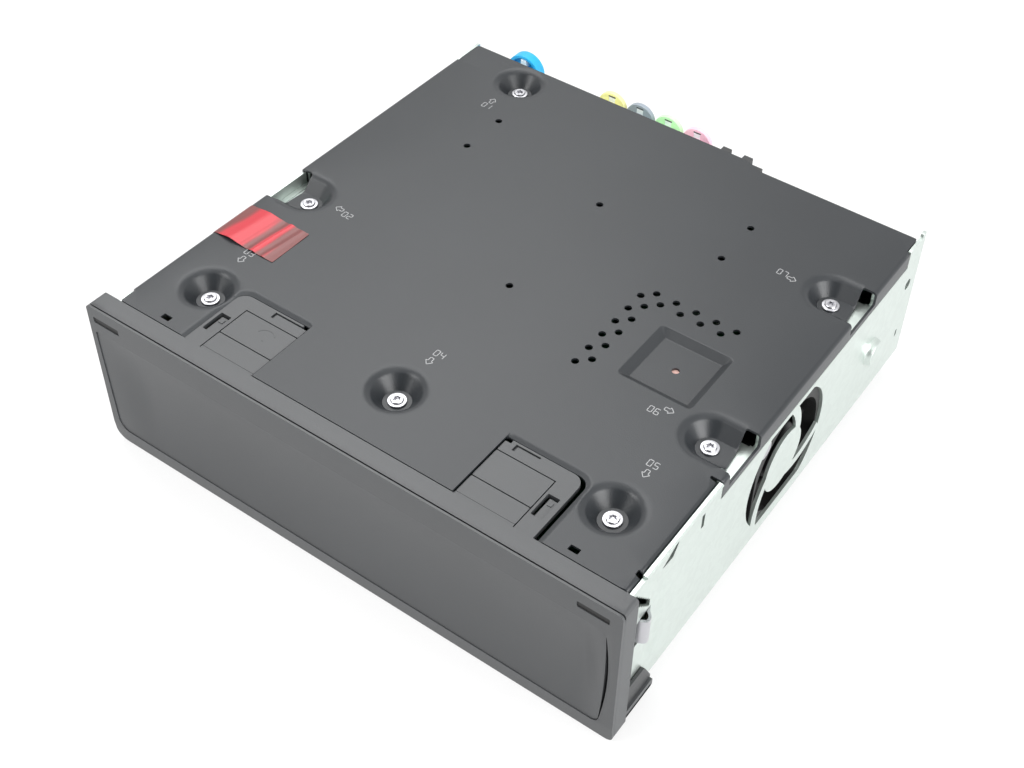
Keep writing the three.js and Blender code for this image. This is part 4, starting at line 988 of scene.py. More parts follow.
def pocket_right(z, bulge):
    """X of the pocket's curved right side at a height."""
    half = (POCKET["top"] - POCKET["bottom"]) / 2
    u = np.clip((z - POCKET["bottom"]) / half - 1, -1, 1)
    top, bottom = POCKET["right"]
    return bottom + (top - bottom) * (u + 1) / 2 + bulge * (1 - u * u)


def pocket_loop(inset=0.0, bulge=POCKET["bulge"]):
    """The outline of the front's pocket, whose right side is curved."""
    top = POCKET["top"] - inset
    bottom = POCKET["bottom"] + inset
    steps = 10
    curve = []
    for k in range(1, steps):
        z = bottom + (top - bottom) * k / steps
        curve.append((float(pocket_right(z, bulge)) - inset, z, 0))
    right_top, right_bottom = POCKET["right"]
    left_top, left_bottom = POCKET["left"]
    radii = POCKET["corners"]
    corners = [
        (left_top + inset, top, radii[0]),
        (left_bottom + inset, bottom, radii[1]),
        (right_bottom - inset, bottom, radii[2]),
        *curve,
        (right_top - inset, top, radii[3]),
    ]
    return rounded(corners, 5)


def panel_outline(inset=0.0, top_inset=0.0):
    width, height = PANEL["width"], PANEL["height"]
    left_bottom, right_bottom, top = PLATE["corners"]
    return rounded([
        (inset, -height + inset, left_bottom),
        (width - inset, -height + inset, right_bottom),
        (width - inset, -top_inset, top),
        (inset, -top_inset, top),
    ], 8)


def lip_slope(b):
    """The front leans back along its bottom edge."""
    return PLATE["bottom_slope"] * np.maximum(POCKET["bottom"] - b, 0)


def plate_front(a, b):
    """The front plate's face, with a hollow crescent beside the pocket."""
    beside = a - pocket_right(b, POCKET["bulge"]) - CRESCENT["start"]
    share = np.clip(1 - beside / CRESCENT["width"], 0, 1) * (beside > -CRESCENT["before"])
    half = (POCKET["top"] - POCKET["bottom"]) / 2
    u = (b - POCKET["bottom"]) / half - 1
    return lip_slope(b) + CRESCENT["depth"] * smooth(share) * np.clip(1 - u * u, 0, 1)


def crescent_points():
    points = []
    for away in np.linspace(CRESCENT["start"], CRESCENT["width"] + CRESCENT["past"], 8):
        for z in np.linspace(POCKET["bottom"] + 1, POCKET["top"] - 1, 40):
            points.append((float(pocket_right(z, POCKET["bulge"])) + away, z))
    return points


def frame_front(a, b):
    """The deep frame's front: open round the insert, and rounded off along the top."""
    back_edge = PLATE["core"] + lip_slope(b)
    t = np.clip((b + PLATE["top_drop"]) / PLATE["top_drop"], 0, 1)
    rounding = PLATE["top_run"] * t ** 1.5
    deep = inside(pocket_loop(PLATE["ledge"][0]), np.stack((a, b), axis=1))
    return np.where(deep, POCKET["depth"], back_edge + rounding)


def front_data():
    """The front plate, the core and the deep frame."""
    width = PANEL["width"]
    slots = [box_loop(x0, x1, *KEY_SLOT_HEIGHTS, 0.4) for x0, x1 in KEY_SLOTS]
    pocket = fine(pocket_loop(), FACET)
    end = PLATE["lip_end"]
    heights = [POCKET["bottom"] - below for below in PLATE["lip_lines"]]
    slope_lines = [line(end, width - end, z, z, FACET) for z in heights]
    outline = fine(panel_outline(), FACET)
    plate = slab_data(
        outline,
        plate_front,
        lambda a, b: lip_slope(b) + PLATE["thick"],
        facing_front,
        [pocket, *slots],
        on_sheet(crescent_points(), outline, [pocket]),
        slope_lines,
    )
    core = slab_data(
        fine(panel_outline(PLATE["overlap"], PLATE["core_inset"]), FACET),
        lambda a, b: lip_slope(b) + PLATE["thick"] - PLATE["overlap"],
        lambda a, b: lip_slope(b) + PLATE["core"] + PLATE["overlap"],
        facing_front,
        [pocket, *slots],
    )
    end = PLATE["top_end"]
    edge = [line(end, width - end, -z, -z, PLATE["top_step"]) for z in TOP_LINES]
    inner = fine(pocket_loop(PLATE["ledge"][1]), FACET)
    deep = slab_data(
        outline,
        frame_front,
        level(PANEL["depth"]),
        facing_front,
        slots,
        (),
        [closed(pocket), closed(inner), *edge],
    )
    return [plate, core, deep]


def plate_seam(start, end):
    """False on the hidden seams between the front plate, the core and the frame."""
    low, high = SEAM["start"] * PLATE["thick"], PLATE["core"] + SEAM["past_core"]
    in_seam = all(low < point[1] < high for point in (start, end))
    top_rear = PLATE["core"] - SEAM["before_core"]
    at_top = all(point[2] > SEAM["top"] and point[1] < top_rear for point in (start, end))
    return at_top or not in_seam


def tongue_plates(key):
    """A tongue's base plate, and the raised bands that leave thin grooves between them."""
    size = TONGUE[key]
    sign = 1 if key == "left" else -1
    top, under = TONGUE["top"], TONGUE["top"] - TONGUE["skin"]
    groove = TONGUE["groove"]
    back = TONGUE["back"]
    low_band, mid_band, rear_band = TONGUE["bands"]
    outer, inner, pad = size["outer"], size["inner"], size["pad"]
    notch, corner = TONGUE["notch"], TONGUE["notch_corner"]
    notch_back = back - TONGUE["notch_depth"]
    front = PANEL["depth"] - TONGUE["overlap"]
    notched = [
        (outer, front, 0), (outer, back, TONGUE["corner"]), (inner - sign * notch, back, corner),
        (inner - sign * notch, notch_back, corner), (inner, notch_back, corner),
    ]

    def area(corners):
        return rounded(corners if sign > 0 else corners[::-1], 6)

    outline = area([*notched, (inner, front, 0)])
    strip = area([
        *notched,
        (inner, rear_band, corner),
        (pad - sign * groove, rear_band, corner),
        (pad - sign * groove, front, 0),
    ])
    x0, x1, y0, y1 = size["window"]
    window = box_loop(x0, x1, y0, y1, 0.3)
    s0, s1 = size["slit"]
    slit_rear = back - TONGUE["slit_behind"]
    slit_front = slit_rear - TONGUE["slit_width"]
    leg = slit_front - TONGUE["slit_leg"]
    leg_side = s0 + TONGUE["slit_leg_width"]
    slit = [(s0, leg), (leg_side, leg), (leg_side, slit_front), (s1, slit_front)]
    slit += [(s1, slit_rear), (s0, slit_rear)]
    a0, a1 = sorted((pad, inner))
    round_off = TONGUE["pad_corner"]
    rear_pad = box_loop(a0, a1, mid_band + groove, rear_band - groove, round_off)
    middle_pad = box_loop(a0, a1, low_band, mid_band, round_off)
    front_pad = box_loop(a0, a1, front, low_band - TONGUE["pad_gap"])
    plates = [
        plate_data(outline, under - TONGUE["base"], under, upright, [window]),
        plate_data(strip, under, top, upright, [window, slit]),
        plate_data(rear_pad, under, top - TONGUE["pad_drops"][0], upright),
        plate_data(middle_pad, under, top - TONGUE["pad_drops"][1], upright),
        plate_data(front_pad, under, top, upright),
    ]
    for rows in (CLIP, HOOK):
        sizes = zip((x0, x1, size["window"][rows["front_from"]], y1, under, top), rows["offsets"])
        plates.append(block_data(*(place + offset for place, offset in sizes), rows["corner"]))
    if key == "left":
        x, y = TONGUE_ARC["x"], TONGUE_ARC["y"]
        arc = []
        for way, radius, start in zip((-1, 1), TONGUE_ARC["radii"], TONGUE_ARC["starts"]):
            arc += ring(x, y, radius, 18, start, way * TONGUE_ARC["sweep"])
        plates.append(plate_data(arc, top - 0.03, top + 0.06, upright))
        plates.append(moved(turned_data(TONGUE_DOT["rows"], 12), TONGUE_DOT["x"], TONGUE_DOT["y"], top))
    return plates


def feet():
    """The frame's lower corners reach back past the case, with a rib along their lower edge."""
    parts = []
    plates = []
    front = PANEL["depth"] - FOOT["in_frame"]
    end = PANEL["depth"] + FOOT["length"]
    knee, heel, rib_corner, toe = FOOT["corners"]
    shelf = FLOOR - FOOT["shelf"]
    for side, edge in ((-1, LEFT), (1, RIGHT)):
        near = edge + side * GAP
        plate = near + side * FOOT["plate"]
        far = edge + side * FOOT["reach"]
        profile = rounded([
            (front, FOOT["top"], 0),
            (FOOT["knee"], FOOT["top"], knee),
            (end, FLOOR + FOOT["lip"], heel),
            (end, shelf, 0),
            (front, shelf, 0),
        ])
        plates.append(plate_data(profile, *sorted((near, plate)), facing_side))
        rib = box_loop(front, end, shelf, FLOOR + FOOT["lip"] - 1, rib_corner)
        parts.append(plate_data(rib, *sorted((near, far)), facing_side))
        inner = edge - side * FOOT["inward"]
        parts.append(block_data(*sorted((inner, far)), front, end, shelf, FLOOR - GAP, toe))
    return parts, plates


def key_slot_painted_shade():
    """Very dark plates that close the key slots just behind the face: painted shade for the slots' depth."""
    low, high = KEY_SLOT_HEIGHTS
    front, back, over = SLOT_SHADE["front"], SLOT_SHADE["back"], SLOT_SHADE["over"]
    return [block_data(x0 - over, x1 + over, front, back, low - over, high + over) for x0, x1 in KEY_SLOTS]


def add_front():
    ribs, shaded_gussets = feet()
    parts = [*front_data(), *tongue_plates("left"), *tongue_plates("right"), *ribs]
    slot_shades = key_slot_painted_shade()
    # The gussets take the darker black: painted shade on their side faces
    add_piece("foot_gussets_painted_shade", shaded_gussets, DARK_PLASTIC_AND_SHADE, bevel=0.2)
    # Painted shade: very dark plates close the key slots
    add_piece("key_slot_painted_shade", slot_shades, FAN_BLACK_AND_SLOT_SHADE)
    add_piece("front_moulding", parts, PLASTIC, nodes=["front_frame"], bevel=0.22,
              bevelled=plate_seam)


def add_insert():
    loop = fine(pocket_loop(SCOOP["inset"], SCOOP["bulge"]), 3.0)
    half = (POCKET["top"] - POCKET["bottom"]) / 2
    points = [(x, z) for x in SCOOP_COLUMNS for z in SCOOP_ROWS]

    def front(a, b):
        t = (b - POCKET["bottom"]) / half - 1
        ends = smooth((a - POCKET["left"][0]) / SCOOP["run_left"])
        ends = ends * smooth((pocket_right(b, SCOOP["bulge"]) - a) / SCOOP["run_right"])
        return SCOOP["edge"] + SCOOP["depth"] * (1 - np.clip(t * t, 0, 1)) * ends

    data = slab_data(loop, front, level(POCKET["depth"] - 0.05), facing_front, (), on_sheet(points, loop))
    add_piece("scooped_insert", [data], PLASTIC, nodes=["fascia_insert"], bevel=0.25)


add_front()
add_insert()


# Screws
LOBES = {"count": 6, "depth": 0.16}


def lobed(radius):
    """The radius of a star recess, all round."""
    return lambda t: radius * (1 + LOBES["depth"] * math.cos(LOBES["count"] * t))


# Radius and height from the shank's tip up round the flange and the head, and down into the recess
SCREW_ROWS = [
    (1.25, -5.6), (1.25, -0.05), (2.65, -0.02), (2.8, 0.1), (2.8, 0.5), (2.7, 0.6), (1.98, 0.66),
    (1.92, 0.8), (1.9, 1.05), (1.75, 1.2), (lobed(1.12), 1.2), (lobed(1.02), 1.12), (lobed(0.98), 0.4),
    (0.3, 0.35),
]
for number, (x, y) in screw_places.items():
    screw = moved(turned_data(SCREW_ROWS, 36), x, y, -DIMPLE["depth"])
    add_piece(f"bright_screw_{number}", [screw], BRIGHT,
              nodes=[f"cover_screw_{number}"], sharp=30)


# Chassis tray: one folded sheet, pierced for the fan, the catches and the rails
TRAY_EDGES = (bend_x(-1), bend_x(1))
RIM = {
    "right": (52.1, 170.1), "left": (12.7, 168.7), "wall_top": -6.85, "front_top": -0.95, "rear_top": -0.1,
    "inner": 2.1, "outer": 1.1, "under": -7.8, "strip_top": -0.9, "clear": 9.8, "clear_above": -5.9,
}
FLAG = {"height": 1.2, "length": 2.4}
BOSS = {
    "y": 152.6, "z": -30.0, "radius": 4.6, "height": 2.0, "slope": 0.8,
    "rings": (-1.4, -0.8, -0.4, -0.2, 0, 0.2, 0.4, 1.2),
}
GRILLE = {
    "y": 94.3, "z": -28.0, "radius": 23.0, "top": -9.0, "bottom": -46.5, "hub_y": 93.1, "hub": 10.8,
    "arm": 3.4, "sweep": 82.0, "ends": (95, -12, -126),
}
CATCH_OPENING = (10.5, 18.9, -27.6, -17.3)
TOOTHED = {
    "upper": ((9.0, -2.2), (17.4, -12.6)), "lower": ((17.7, -16.8), (9.0, -7.6)), "teeth": 7, "depth": 0.55,
}
WALL_HOLE = {"y": 174.9, "z": -17.0, "radius": 2.0}
WALL_SLOT = (174.5, 175.7, -40.5, -37.5)
THIN_SLOT = (42.0, 43.5, -9.4, -4.0)
LANCE = [(22.2, -5.6, 0.1), (27.4, -6.2, 0.2), (30.2, -1.8, 0.1), (29.0, -1.8, 0.1)]
TAB = {"half": 8.0, "bottom": -6.75, "top": -5.85, "bore": 1.45, "corner": 0.8}
STIFFENER = {"near": 1.05, "far": 2.9, "half": 8.3, "z": (-6.6, -5.6), "corner": 0.3}
LEFT_RAIL = {"near": 0.2, "far": 1.0, "half": 9.3, "z": (-6.9, -1.6), "corner": 0.1}
EAR = {
    "pin_in": 3.2, "pin_y": 34.1, "half": 2.5, "near": 0.9, "far": 5.7, "bore": 0.82, "z": (-17.3, -28.3),
    "thick": 1, "corner": 0.8,
}
TRAY_CORNERS = {"end": 0.4, "rim": 0.3, "flag": 0.2, "tail": 0.6, "step": 2.0}
WALL_CORNERS = {"catch": 0.5, "slot": 0.3}
EMBOSS = {
    "from": (21.4, -11.0), "to": (19.6, -36.0), "radius": 4.4, "slope": 1.8, "depth": 0.4,
    "grid": ((13.0, 29.0, 0.8), (-44.0, -7.0, 1.2)),
}
HEM = {"y": (13.8, 51.6), "x": (184.7, 186.3), "z": (-0.85, 0.1), "corners": (0, 0.3, 0.45, 0.3)}
WEB = {"in": 0.2, "bottom": -1.1, "over": 0.1}
FOLD_LINES = {"in": 0.5, "step": 12}


def wall_a(side, z):
    """A wall's place in the flat pattern at a height."""
    return bend_x(side) + side * (BEND_GAIN + z - FLOOR)


def on_wall(side, loop):
    """An outline in (y, z) laid into a wall's part of the flat pattern."""
    return [(wall_a(side, z), y) for y, z in loop]


def tray_outline():
    """The tray's flat pattern: its floor with both walls laid out flat."""
    bend_end = BEND * QUARTER
    left, right = TRAY_EDGES[0] - bend_end, TRAY_EDGES[1] + bend_end
    r0, r1 = RIM["right"]
    l0, l1 = RIM["left"]
    start = PANEL["depth"]
    stepped = REAR - STEP["depth"]

    def heights(side):
        return (wall_a(side, RIM["front_top"]), wall_a(side, RIM["wall_top"]), wall_a(side, RIM["rear_top"]))

    right_front, right_rim, right_rear = heights(1)
    left_front, left_rim, left_rear = heights(-1)
    flag = wall_a(1, FLAG["height"])
    flag_start = TAIL - FLAG["length"]
    end, rim, notch, tail, step = TRAY_CORNERS.values()
    return fine(rounded([
        (left_front, start, end), (right_front, start, end), (right_front, r0, end), (right_rim, r0, rim),
        (right_rim, r1, rim), (right_rear, r1, end), (right_rear, flag_start, notch), (flag, flag_start, end),
        (flag, TAIL, end), (right, TAIL, tail), (right, stepped, 0),
        (STEP["x"] + STEP["ramp"] / 2, stepped, step), (STEP["x"] - STEP["ramp"] / 2, REAR, step),
        (left, REAR, 0), (left, TAIL, tail), (left_rear, TAIL, end), (left_rear, l1, end),
        (left_rim, l1, rim), (left_rim, l0, rim), (left_front, l0, end),
    ], 3), FACET)


def arm_loop(end):
    """One swept arm of the fan grille, in (y, z)."""
    inner = GRILLE["hub"] - GRILLE["arm"]
    outer = GRILLE["radius"] + 1
    steps = 12
    centre = []
    for k in range(steps + 1):
        share = k / steps
        radius = inner + (outer - inner) * share * share
        angle = math.radians(end - GRILLE["sweep"] * (1 - share))
        centre.append((GRILLE["hub_y"] + radius * math.cos(angle), GRILLE["z"] + radius * math.sin(angle)))
    return ribbon(centre, GRILLE["arm"])


def ribbon(path, width):
    """A closed outline that keeps an even width along a path."""
    path = np.array(path, float)
    along = np.gradient(path, axis=0)
    along /= np.linalg.norm(along, axis=1)[:, None]
    normal = np.stack((-along[:, 1], along[:, 0]), axis=1) * width / 2
    return [tuple(p) for p in np.vstack((path + normal, (path - normal)[::-1]))]


def eased(path, passes=2):
    """An open path with its corners cut round."""
    for _ in range(passes):
        cut = [path[0]]
        for (x0, y0), (x1, y1) in zip(path, path[1:]):
            for share in (0.25, 0.75):
                cut.append(((1 - share) * x0 + share * x1, (1 - share) * y0 + share * y1))
        path = [*cut, path[-1]]
    return path


def grille_loop():
    """The round of the fan's windows, cut flat above and below."""
    loop = ring(GRILLE["y"], GRILLE["z"], GRILLE["radius"], 96)
    return [(y, min(max(z, GRILLE["bottom"]), GRILLE["top"])) for y, z in loop]


def toothed_opening():
    """A slanted opening with teeth along its two long edges, in (y, z)."""
    loop = []
    count = 2 * TOOTHED["teeth"]
    for key in ("upper", "lower"):
        start, end = np.array(TOOTHED[key])
        along = unit(end - start)
        normal = np.array((along[1], -along[0]))
        for k in range(count + 1):
            point = start + (end - start) * k / count
            loop.append(tuple(point + normal * (TOOTHED["depth"] if k % 2 else 0)))
    return loop


def tray_outer(a, b):
    """How far a wall's outer face stands proud of the plain fold."""
    height = np.zeros(len(a))
    (y0, z0), (y1, z1) = EMBOSS["from"], EMBOSS["to"]
    for side in (-1, 1):
        z = FLOOR + (a - TRAY_EDGES[0 if side < 0 else 1]) * side - BEND_GAIN
        boss = np.hypot(b - BOSS["y"], z - BOSS["z"])
        rise = BOSS["height"] * smooth((BOSS["radius"] + BOSS["slope"] / 2 - boss) / BOSS["slope"])
        t = np.clip(((b - y0) * (y1 - y0) + (z - z0) * (z1 - z0)) / ((y1 - y0) ** 2 + (z1 - z0) ** 2), 0, 1)
        away = np.hypot(b - y0 - t * (y1 - y0), z - z0 - t * (z1 - z0))
        fall = EMBOSS["depth"] * smooth((EMBOSS["radius"] - away) / EMBOSS["slope"])
        on_side = (a - (LEFT + RIGHT) / 2) * side > 0
        height += np.where(on_side, rise - fall, 0)
    return height


def tray_points(side):
    """Points that carry a wall's boss and its embossed field."""
    points = []
    for away in BOSS["rings"]:
        points += ring(BOSS["y"], BOSS["z"], BOSS["radius"] + away, 40)
    columns, rows = (np.arange(*sizes) for sizes in EMBOSS["grid"])
    points += [(y, z) for y in columns for z in rows]
    return on_wall(side, points)


def tray_rims(side):
    """The joggled rim inside the cover's flange, the screw tabs, the left rail and the catch's ears."""
    case = case_x(side)
    low, high = RIM["right"] if side > 0 else RIM["left"]

    def span(near, far):
        return sorted((case - side * near, case - side * far))

    def across(near, far, *sizes):
        return block_data(*span(near, far), *sizes)

    parts = [across(RIM["inner"], 0.1, low + 0.1, high - 0.1, RIM["under"], RIM["wall_top"] + 0.02, 0.1)]
    top = RIM["strip_top"]
    corners = [(low + 0.1, RIM["under"] + 0.1)]
    spots = [i for i in EDGE_SIDES if EDGE_SIDES[i] == side]
    corners += [(high - 0.1, RIM["under"] + 0.1), (high - 0.1, top)]
    for index in sorted(spots, key=lambda i: -screw_places[i][1]):
        y = screw_places[index][1]
        for away, z in ((1, top), (1, RIM["clear_above"]), (-1, RIM["clear_above"]), (-1, top)):
            corners.append((y + away * RIM["clear"], z))
    corners.append((low + 0.1, top))
    parts.append(plate_data(corners, *span(RIM["inner"], RIM["outer"]), facing_side))
    for index in spots:
        x, y = screw_places[index]
        half = TAB["half"]
        loop = box_loop(*span(RIM["outer"], abs(case - x) + half), y - half, y + half, TAB["corner"])
        bore = ring(x, y, TAB["bore"], HOLE_FACETS)
        parts.append(plate_data(loop, TAB["bottom"], TAB["top"], upright, [bore]))
        for rail in (STIFFENER, LEFT_RAIL) if side < 0 else (STIFFENER,):
            half = rail["half"]
            parts.append(across(rail["near"], rail["far"], y - half, y + half, *rail["z"], rail["corner"]))
    front, rear = EAR["pin_y"] - EAR["half"], EAR["pin_y"] + EAR["half"]
    loop = box_loop(*span(EAR["near"], EAR["far"]), front, rear, EAR["corner"])
    bore = ring(case - side * EAR["pin_in"], EAR["pin_y"], EAR["bore"], HOLE_FACETS)
    for z in EAR["z"]:
        parts.append(plate_data(loop, z, z + EAR["thick"], upright, [bore]))
    return parts


def add_tray():
    outline = tray_outline()
    holes = []
    openings = [
        box_loop(*CATCH_OPENING, WALL_CORNERS["catch"]),
        toothed_opening(),
        ring(WALL_HOLE["y"], WALL_HOLE["z"], WALL_HOLE["radius"]),
        box_loop(*WALL_SLOT, WALL_CORNERS["slot"]),
        rounded(LANCE),
        box_loop(*THIN_SLOT, WALL_CORNERS["slot"]),
    ]
    for side in (-1, 1):
        holes += [on_wall(side, opening) for opening in openings]
    window = on_wall(1, grille_loop())
    hub = on_wall(1, ring(GRILLE["hub_y"], GRILLE["z"], GRILLE["hub"], 60))
    arms = [on_wall(1, arm_loop(end)) for end in GRILLE["ends"]]

    def cut(points):
        gone = inside(window, points) & ~inside(hub, points)
        for arm in arms:
            gone &= ~inside(arm, points)
        return gone

    lines = [closed(loop) for loop in (window, hub, *arms)]
    start, end = PANEL["depth"] + FOLD_LINES["in"], REAR - STEP["depth"] - FOLD_LINES["in"]
    for side, edge in zip((-1, 1), TRAY_EDGES):
        for a in bend_cuts(side, edge):
            lines.append(line(a, a, start, end, FOLD_LINES["step"]))
    points = on_sheet([*tray_points(-1), *tray_points(1)], outline, holes)
    data = slab_data(outline, tray_outer, lambda a, b: tray_outer(a, b) - WALL, folded(FLOOR, 1, TRAY_EDGES),
                     holes, points, lines, cut)
    (x0, x1), (y0, y1), (z0, z1) = HEM["x"], HEM["y"], HEM["z"]
    places = ((x0, z0), (x1, z0), (x1, z1), (x0, z1))
    hem_loop = rounded([(*place, radius) for place, radius in zip(places, HEM["corners"])])
    hem = plate_data(hem_loop, y0, y1, facing_front)
    front, rear = y0 + WEB["in"], y1 - WEB["in"]
    web = block_data(RIGHT - WALL, RIGHT - GAP, front, rear, WEB["bottom"], z0 + WEB["over"])
    parts = [data, hem, web, *tray_rims(-1), *tray_rims(1)]
    add_piece("folded_tray", parts, ZINC, nodes=["chassis_tray"], sharp=28)


add_tray()


# Sprung catches: a bent strip curled round its pin, with a ramped hook out through the wall
CATCH_PATH = [
    (180.2, 34.6), (180.6, 36.0), (182.6, 36.3), (184.2, 35.4), (184.2, 33.2), (183.7, 31.0), (183.9, 20.4),
    (185.2, 17.6), (187.2, 15.9), (187.45, 14.8), (187.3, 13.8), (184.4, 12.6),
]


def add_catches():
    for side, node, body in ((-1, "catch_left", "catch_left_leaf"), (1, "catch_right", "catch_right_leaf")):
        low, high = local_box(node)
        path = [(x if side > 0 else LEFT + RIGHT - x, y) for x, y in eased(CATCH_PATH)]
        loop = [(min(max(x, low[0]), high[0]), min(max(y, low[1]), high[1])) for x, y in ribbon(path, SHEET)]
        add_piece(f"sprung_{node}", [plate_data(loop, low[2], high[2], upright)], BRIGHT,
                  body=body, nodes=[node], bevel=0.1)


add_catches()


# Fan wheel: a rounded hub and twisted blades
# From the front to the fan's axis: a share of the case's depth
FAN_BEHIND = 173 * 0.5196
BLADE = {
    "count": 7, "root": 8.8, "tip": 18.1, "chord": 5.6, "pitch": (50.0, 34.0), "thick": 0.8, "camber": 0.5,
    "middle": 179.6, "corner": 0.9, "step": 1.2,
}
BLADE_COLUMNS = np.arange(-2.4, 2.5, 0.8)
BLADE_ROWS = np.arange(BLADE["root"] + 0.8, BLADE["tip"] - 0.4, 1.0)
# Radius, the rotor's inner (0) or outer (1) end, and the distance from it
HUB_ROWS = [
    (8.4, 0, 0.6), (9.5, 0, 0.6), (9.5, 1, -1.2), (9.2, 1, -0.5), (8.6, 1, -0.1), (8.0, 1, 0), (4.0, 1, 0),
    (3.8, 1, -0.2), (0.4, 1, -0.2),
]


def blade_place(turn, centre):
    """Lays a blade's flat pattern out: a along the chord, b outward, h through it."""
    cy, cz = centre

    def place(a, b, h):
        share = (b - BLADE["root"]) / (BLADE["tip"] - BLADE["root"])
        pitch = np.radians(BLADE["pitch"][0] + (BLADE["pitch"][1] - BLADE["pitch"][0]) * share)
        bowed = h + BLADE["camber"] * (1 - (2 * a / BLADE["chord"]) ** 2)
        axial = a * np.sin(pitch) + bowed * np.cos(pitch)
        around = a * np.cos(pitch) - bowed * np.sin(pitch)
        angle = turn + around / b
        return np.stack((BLADE["middle"] + axial, cy + b * np.cos(angle), cz + b * np.sin(angle)), axis=1)
    return place


def add_fan_wheel():
    low, high = local_box("fan_rotor")
    centre = (PANEL["depth"] + FAN_BEHIND, (low[2] + high[2]) / 2)
    ends = (low[0], high[0])
    rows = [(radius, ends[end] + away) for radius, end, away in HUB_ROWS]
    parts = [moved(along_x(turned_data(rows, 48)), y=centre[0], z=centre[1])]
    half = BLADE["chord"] / 2
    outline = fine(box_loop(-half, half, BLADE["root"], BLADE["tip"], BLADE["corner"]), BLADE["step"])
    points = on_sheet([(a, b) for a in BLADE_COLUMNS for b in BLADE_ROWS], outline)
    thick = BLADE["thick"] / 2
    for k in range(BLADE["count"]):
        turn = 2 * math.pi * k / BLADE["count"]
        parts.append(slab_data(outline, level(thick), level(-thick), blade_place(turn, centre), (), points))
    add_piece("fan_wheel", parts, FAN_BLACK_AND_SLOT_SHADE, body="fan", nodes=["fan_rotor"], sharp=40)


add_fan_wheel()


# Aerial sockets: a keyed tube with a round flange at its mouth
# Pairs are for the blue socket, and for the others
SOCKET = {
    "neck": 176.3, "overlap": 0.2, "flange": 1.8, "bore": 3.15, "contact_bore": 1.45, "tube": (4.4, 3.9),
    "rise": (1.8, 1.5), "lip_wall": 1.2, "lip_depth": 2.2,
}
# Sizes of the white keys, and of the dark strip over each one, which is painted shadow
KEY_WINDOW = {
    "width": (2.2, 2.6), "below_top": 1.5, "height": (5.4, 2.8), "proud": (0.08 + 2.4, 0.08), "in": 0.1,
    "shadow_height": 0.45, "shadow_over": 0.15, "shadow_proud": 0.12,
}


def tall_ring(x, z, radius, rise):
    """A round outline drawn out upwards."""
    top = ring(x, z + rise, radius, 28, 0.0, math.pi)
    return top + ring(x, z, radius, 28, math.pi, math.pi)


def add_sockets():
    keys = []
    key_shadows = []
    for name, material in SOCKETS.items():
        node = f"coax_socket_{name}"
        low, high = local_box(node)
        x, z = (low[0] + high[0]) / 2, (low[2] + high[2]) / 2
        radius = (high[0] - low[0]) / 2
        kind = 0 if name == "blue" else 1
        tube = SOCKET["tube"][kind]
        rise = SOCKET["rise"][kind]
        start, end = low[1], high[1]
        face = end - SOCKET["flange"]
        bore = ring(x, z, SOCKET["bore"], 32)
        contact = ring(x, z, SOCKET["contact_bore"])
        outside = ring(x, z, tube, 48)
        neck = SOCKET["neck"]
        parts = [
            plate_data(tall_ring(x, z, radius, rise), face, end, facing_front, [bore]),
            plate_data(outside, neck, face + SOCKET["overlap"], facing_front, [bore]),
            plate_data(outside, start, neck + SOCKET["overlap"], facing_front, [contact]),
        ]
        if kind == 0:
            lip = tall_ring(x, z, radius, rise)
            hollow = tall_ring(x, z, radius - SOCKET["lip_wall"], rise)
            parts.append(plate_data(lip, face - SOCKET["lip_depth"], face + 0.1, facing_front, [hollow]))
        add_piece(f"keyed_socket_{name}", parts, material, nodes=[node], bevel=0.2)
        half = KEY_WINDOW["width"][kind] / 2
        top = z + rise + radius - KEY_WINDOW["below_top"]
        bottom = top - KEY_WINDOW["height"][kind]
        back = face + KEY_WINDOW["in"]
        keys.append(block_data(x - half, x + half, face - KEY_WINDOW["proud"][kind], back, bottom, top))
        # Over each white key, a dark strip stands proud of the face: painted shadow along the key's upper
        # edge
        half += KEY_WINDOW["shadow_over"]
        front = face - KEY_WINDOW["shadow_proud"]
        key_shadows.append(block_data(x - half, x + half, front, back, top, top + KEY_WINDOW["shadow_height"]))
    add_piece("socket_keys", keys, WHITE, bevel=0.05)
    add_piece("socket_key_painted_shadow", key_shadows, DARK_PLASTIC_AND_SHADE)


add_sockets()


# Red film: painted brighter where it has lifted, with one end folded over the cover's left edge
FILM = {
    "y": (46.0, 62.6), "x": (5.3, 30.3), "fold": 4.0, "thick": 0.1, "rest": 0.03, "corner": 0.4, "step": 0.8,
}
# Centre and width as shares of the length, height, and the share of it that is lost towards the rear
FILM_RIDGES = (
    (0.33, 0.16, 0.95, 0.3), (0.70, 0.05, 0.6, 0.1), (0.52, 0.03, 0.2, 0.5), (0.87, 0.03, 0.22, 0.4),
)
FILM_WAVE = {"lean": 0.06, "height": 0.05, "along": 9, "across": 5, "run_in": 0.2, "flat": 0.02}


def film_lift(a, b):
    """The film's height over the cover: a few ridges and a slight wave."""
    s = (a - FILM["x"][0]) / (FILM["x"][1] - FILM["x"][0])
    t = (b - FILM["y"][0]) / (FILM["y"][1] - FILM["y"][0])
    lift = np.full(len(a), FILM["rest"])
    for centre, width, height, fade in FILM_RIDGES:
        lean = FILM_WAVE["lean"] * (t - 0.5)
        lift += height * (1 - fade * t) * np.exp(-(((s - centre - lean) / width) ** 2))
    wave = 1 + np.sin(FILM_WAVE["along"] * s + FILM_WAVE["across"] * t)
    lift += FILM_WAVE["height"] * wave * smooth(s / FILM_WAVE["run_in"])
    return np.where(s > FILM_WAVE["flat"], lift, FILM["rest"])


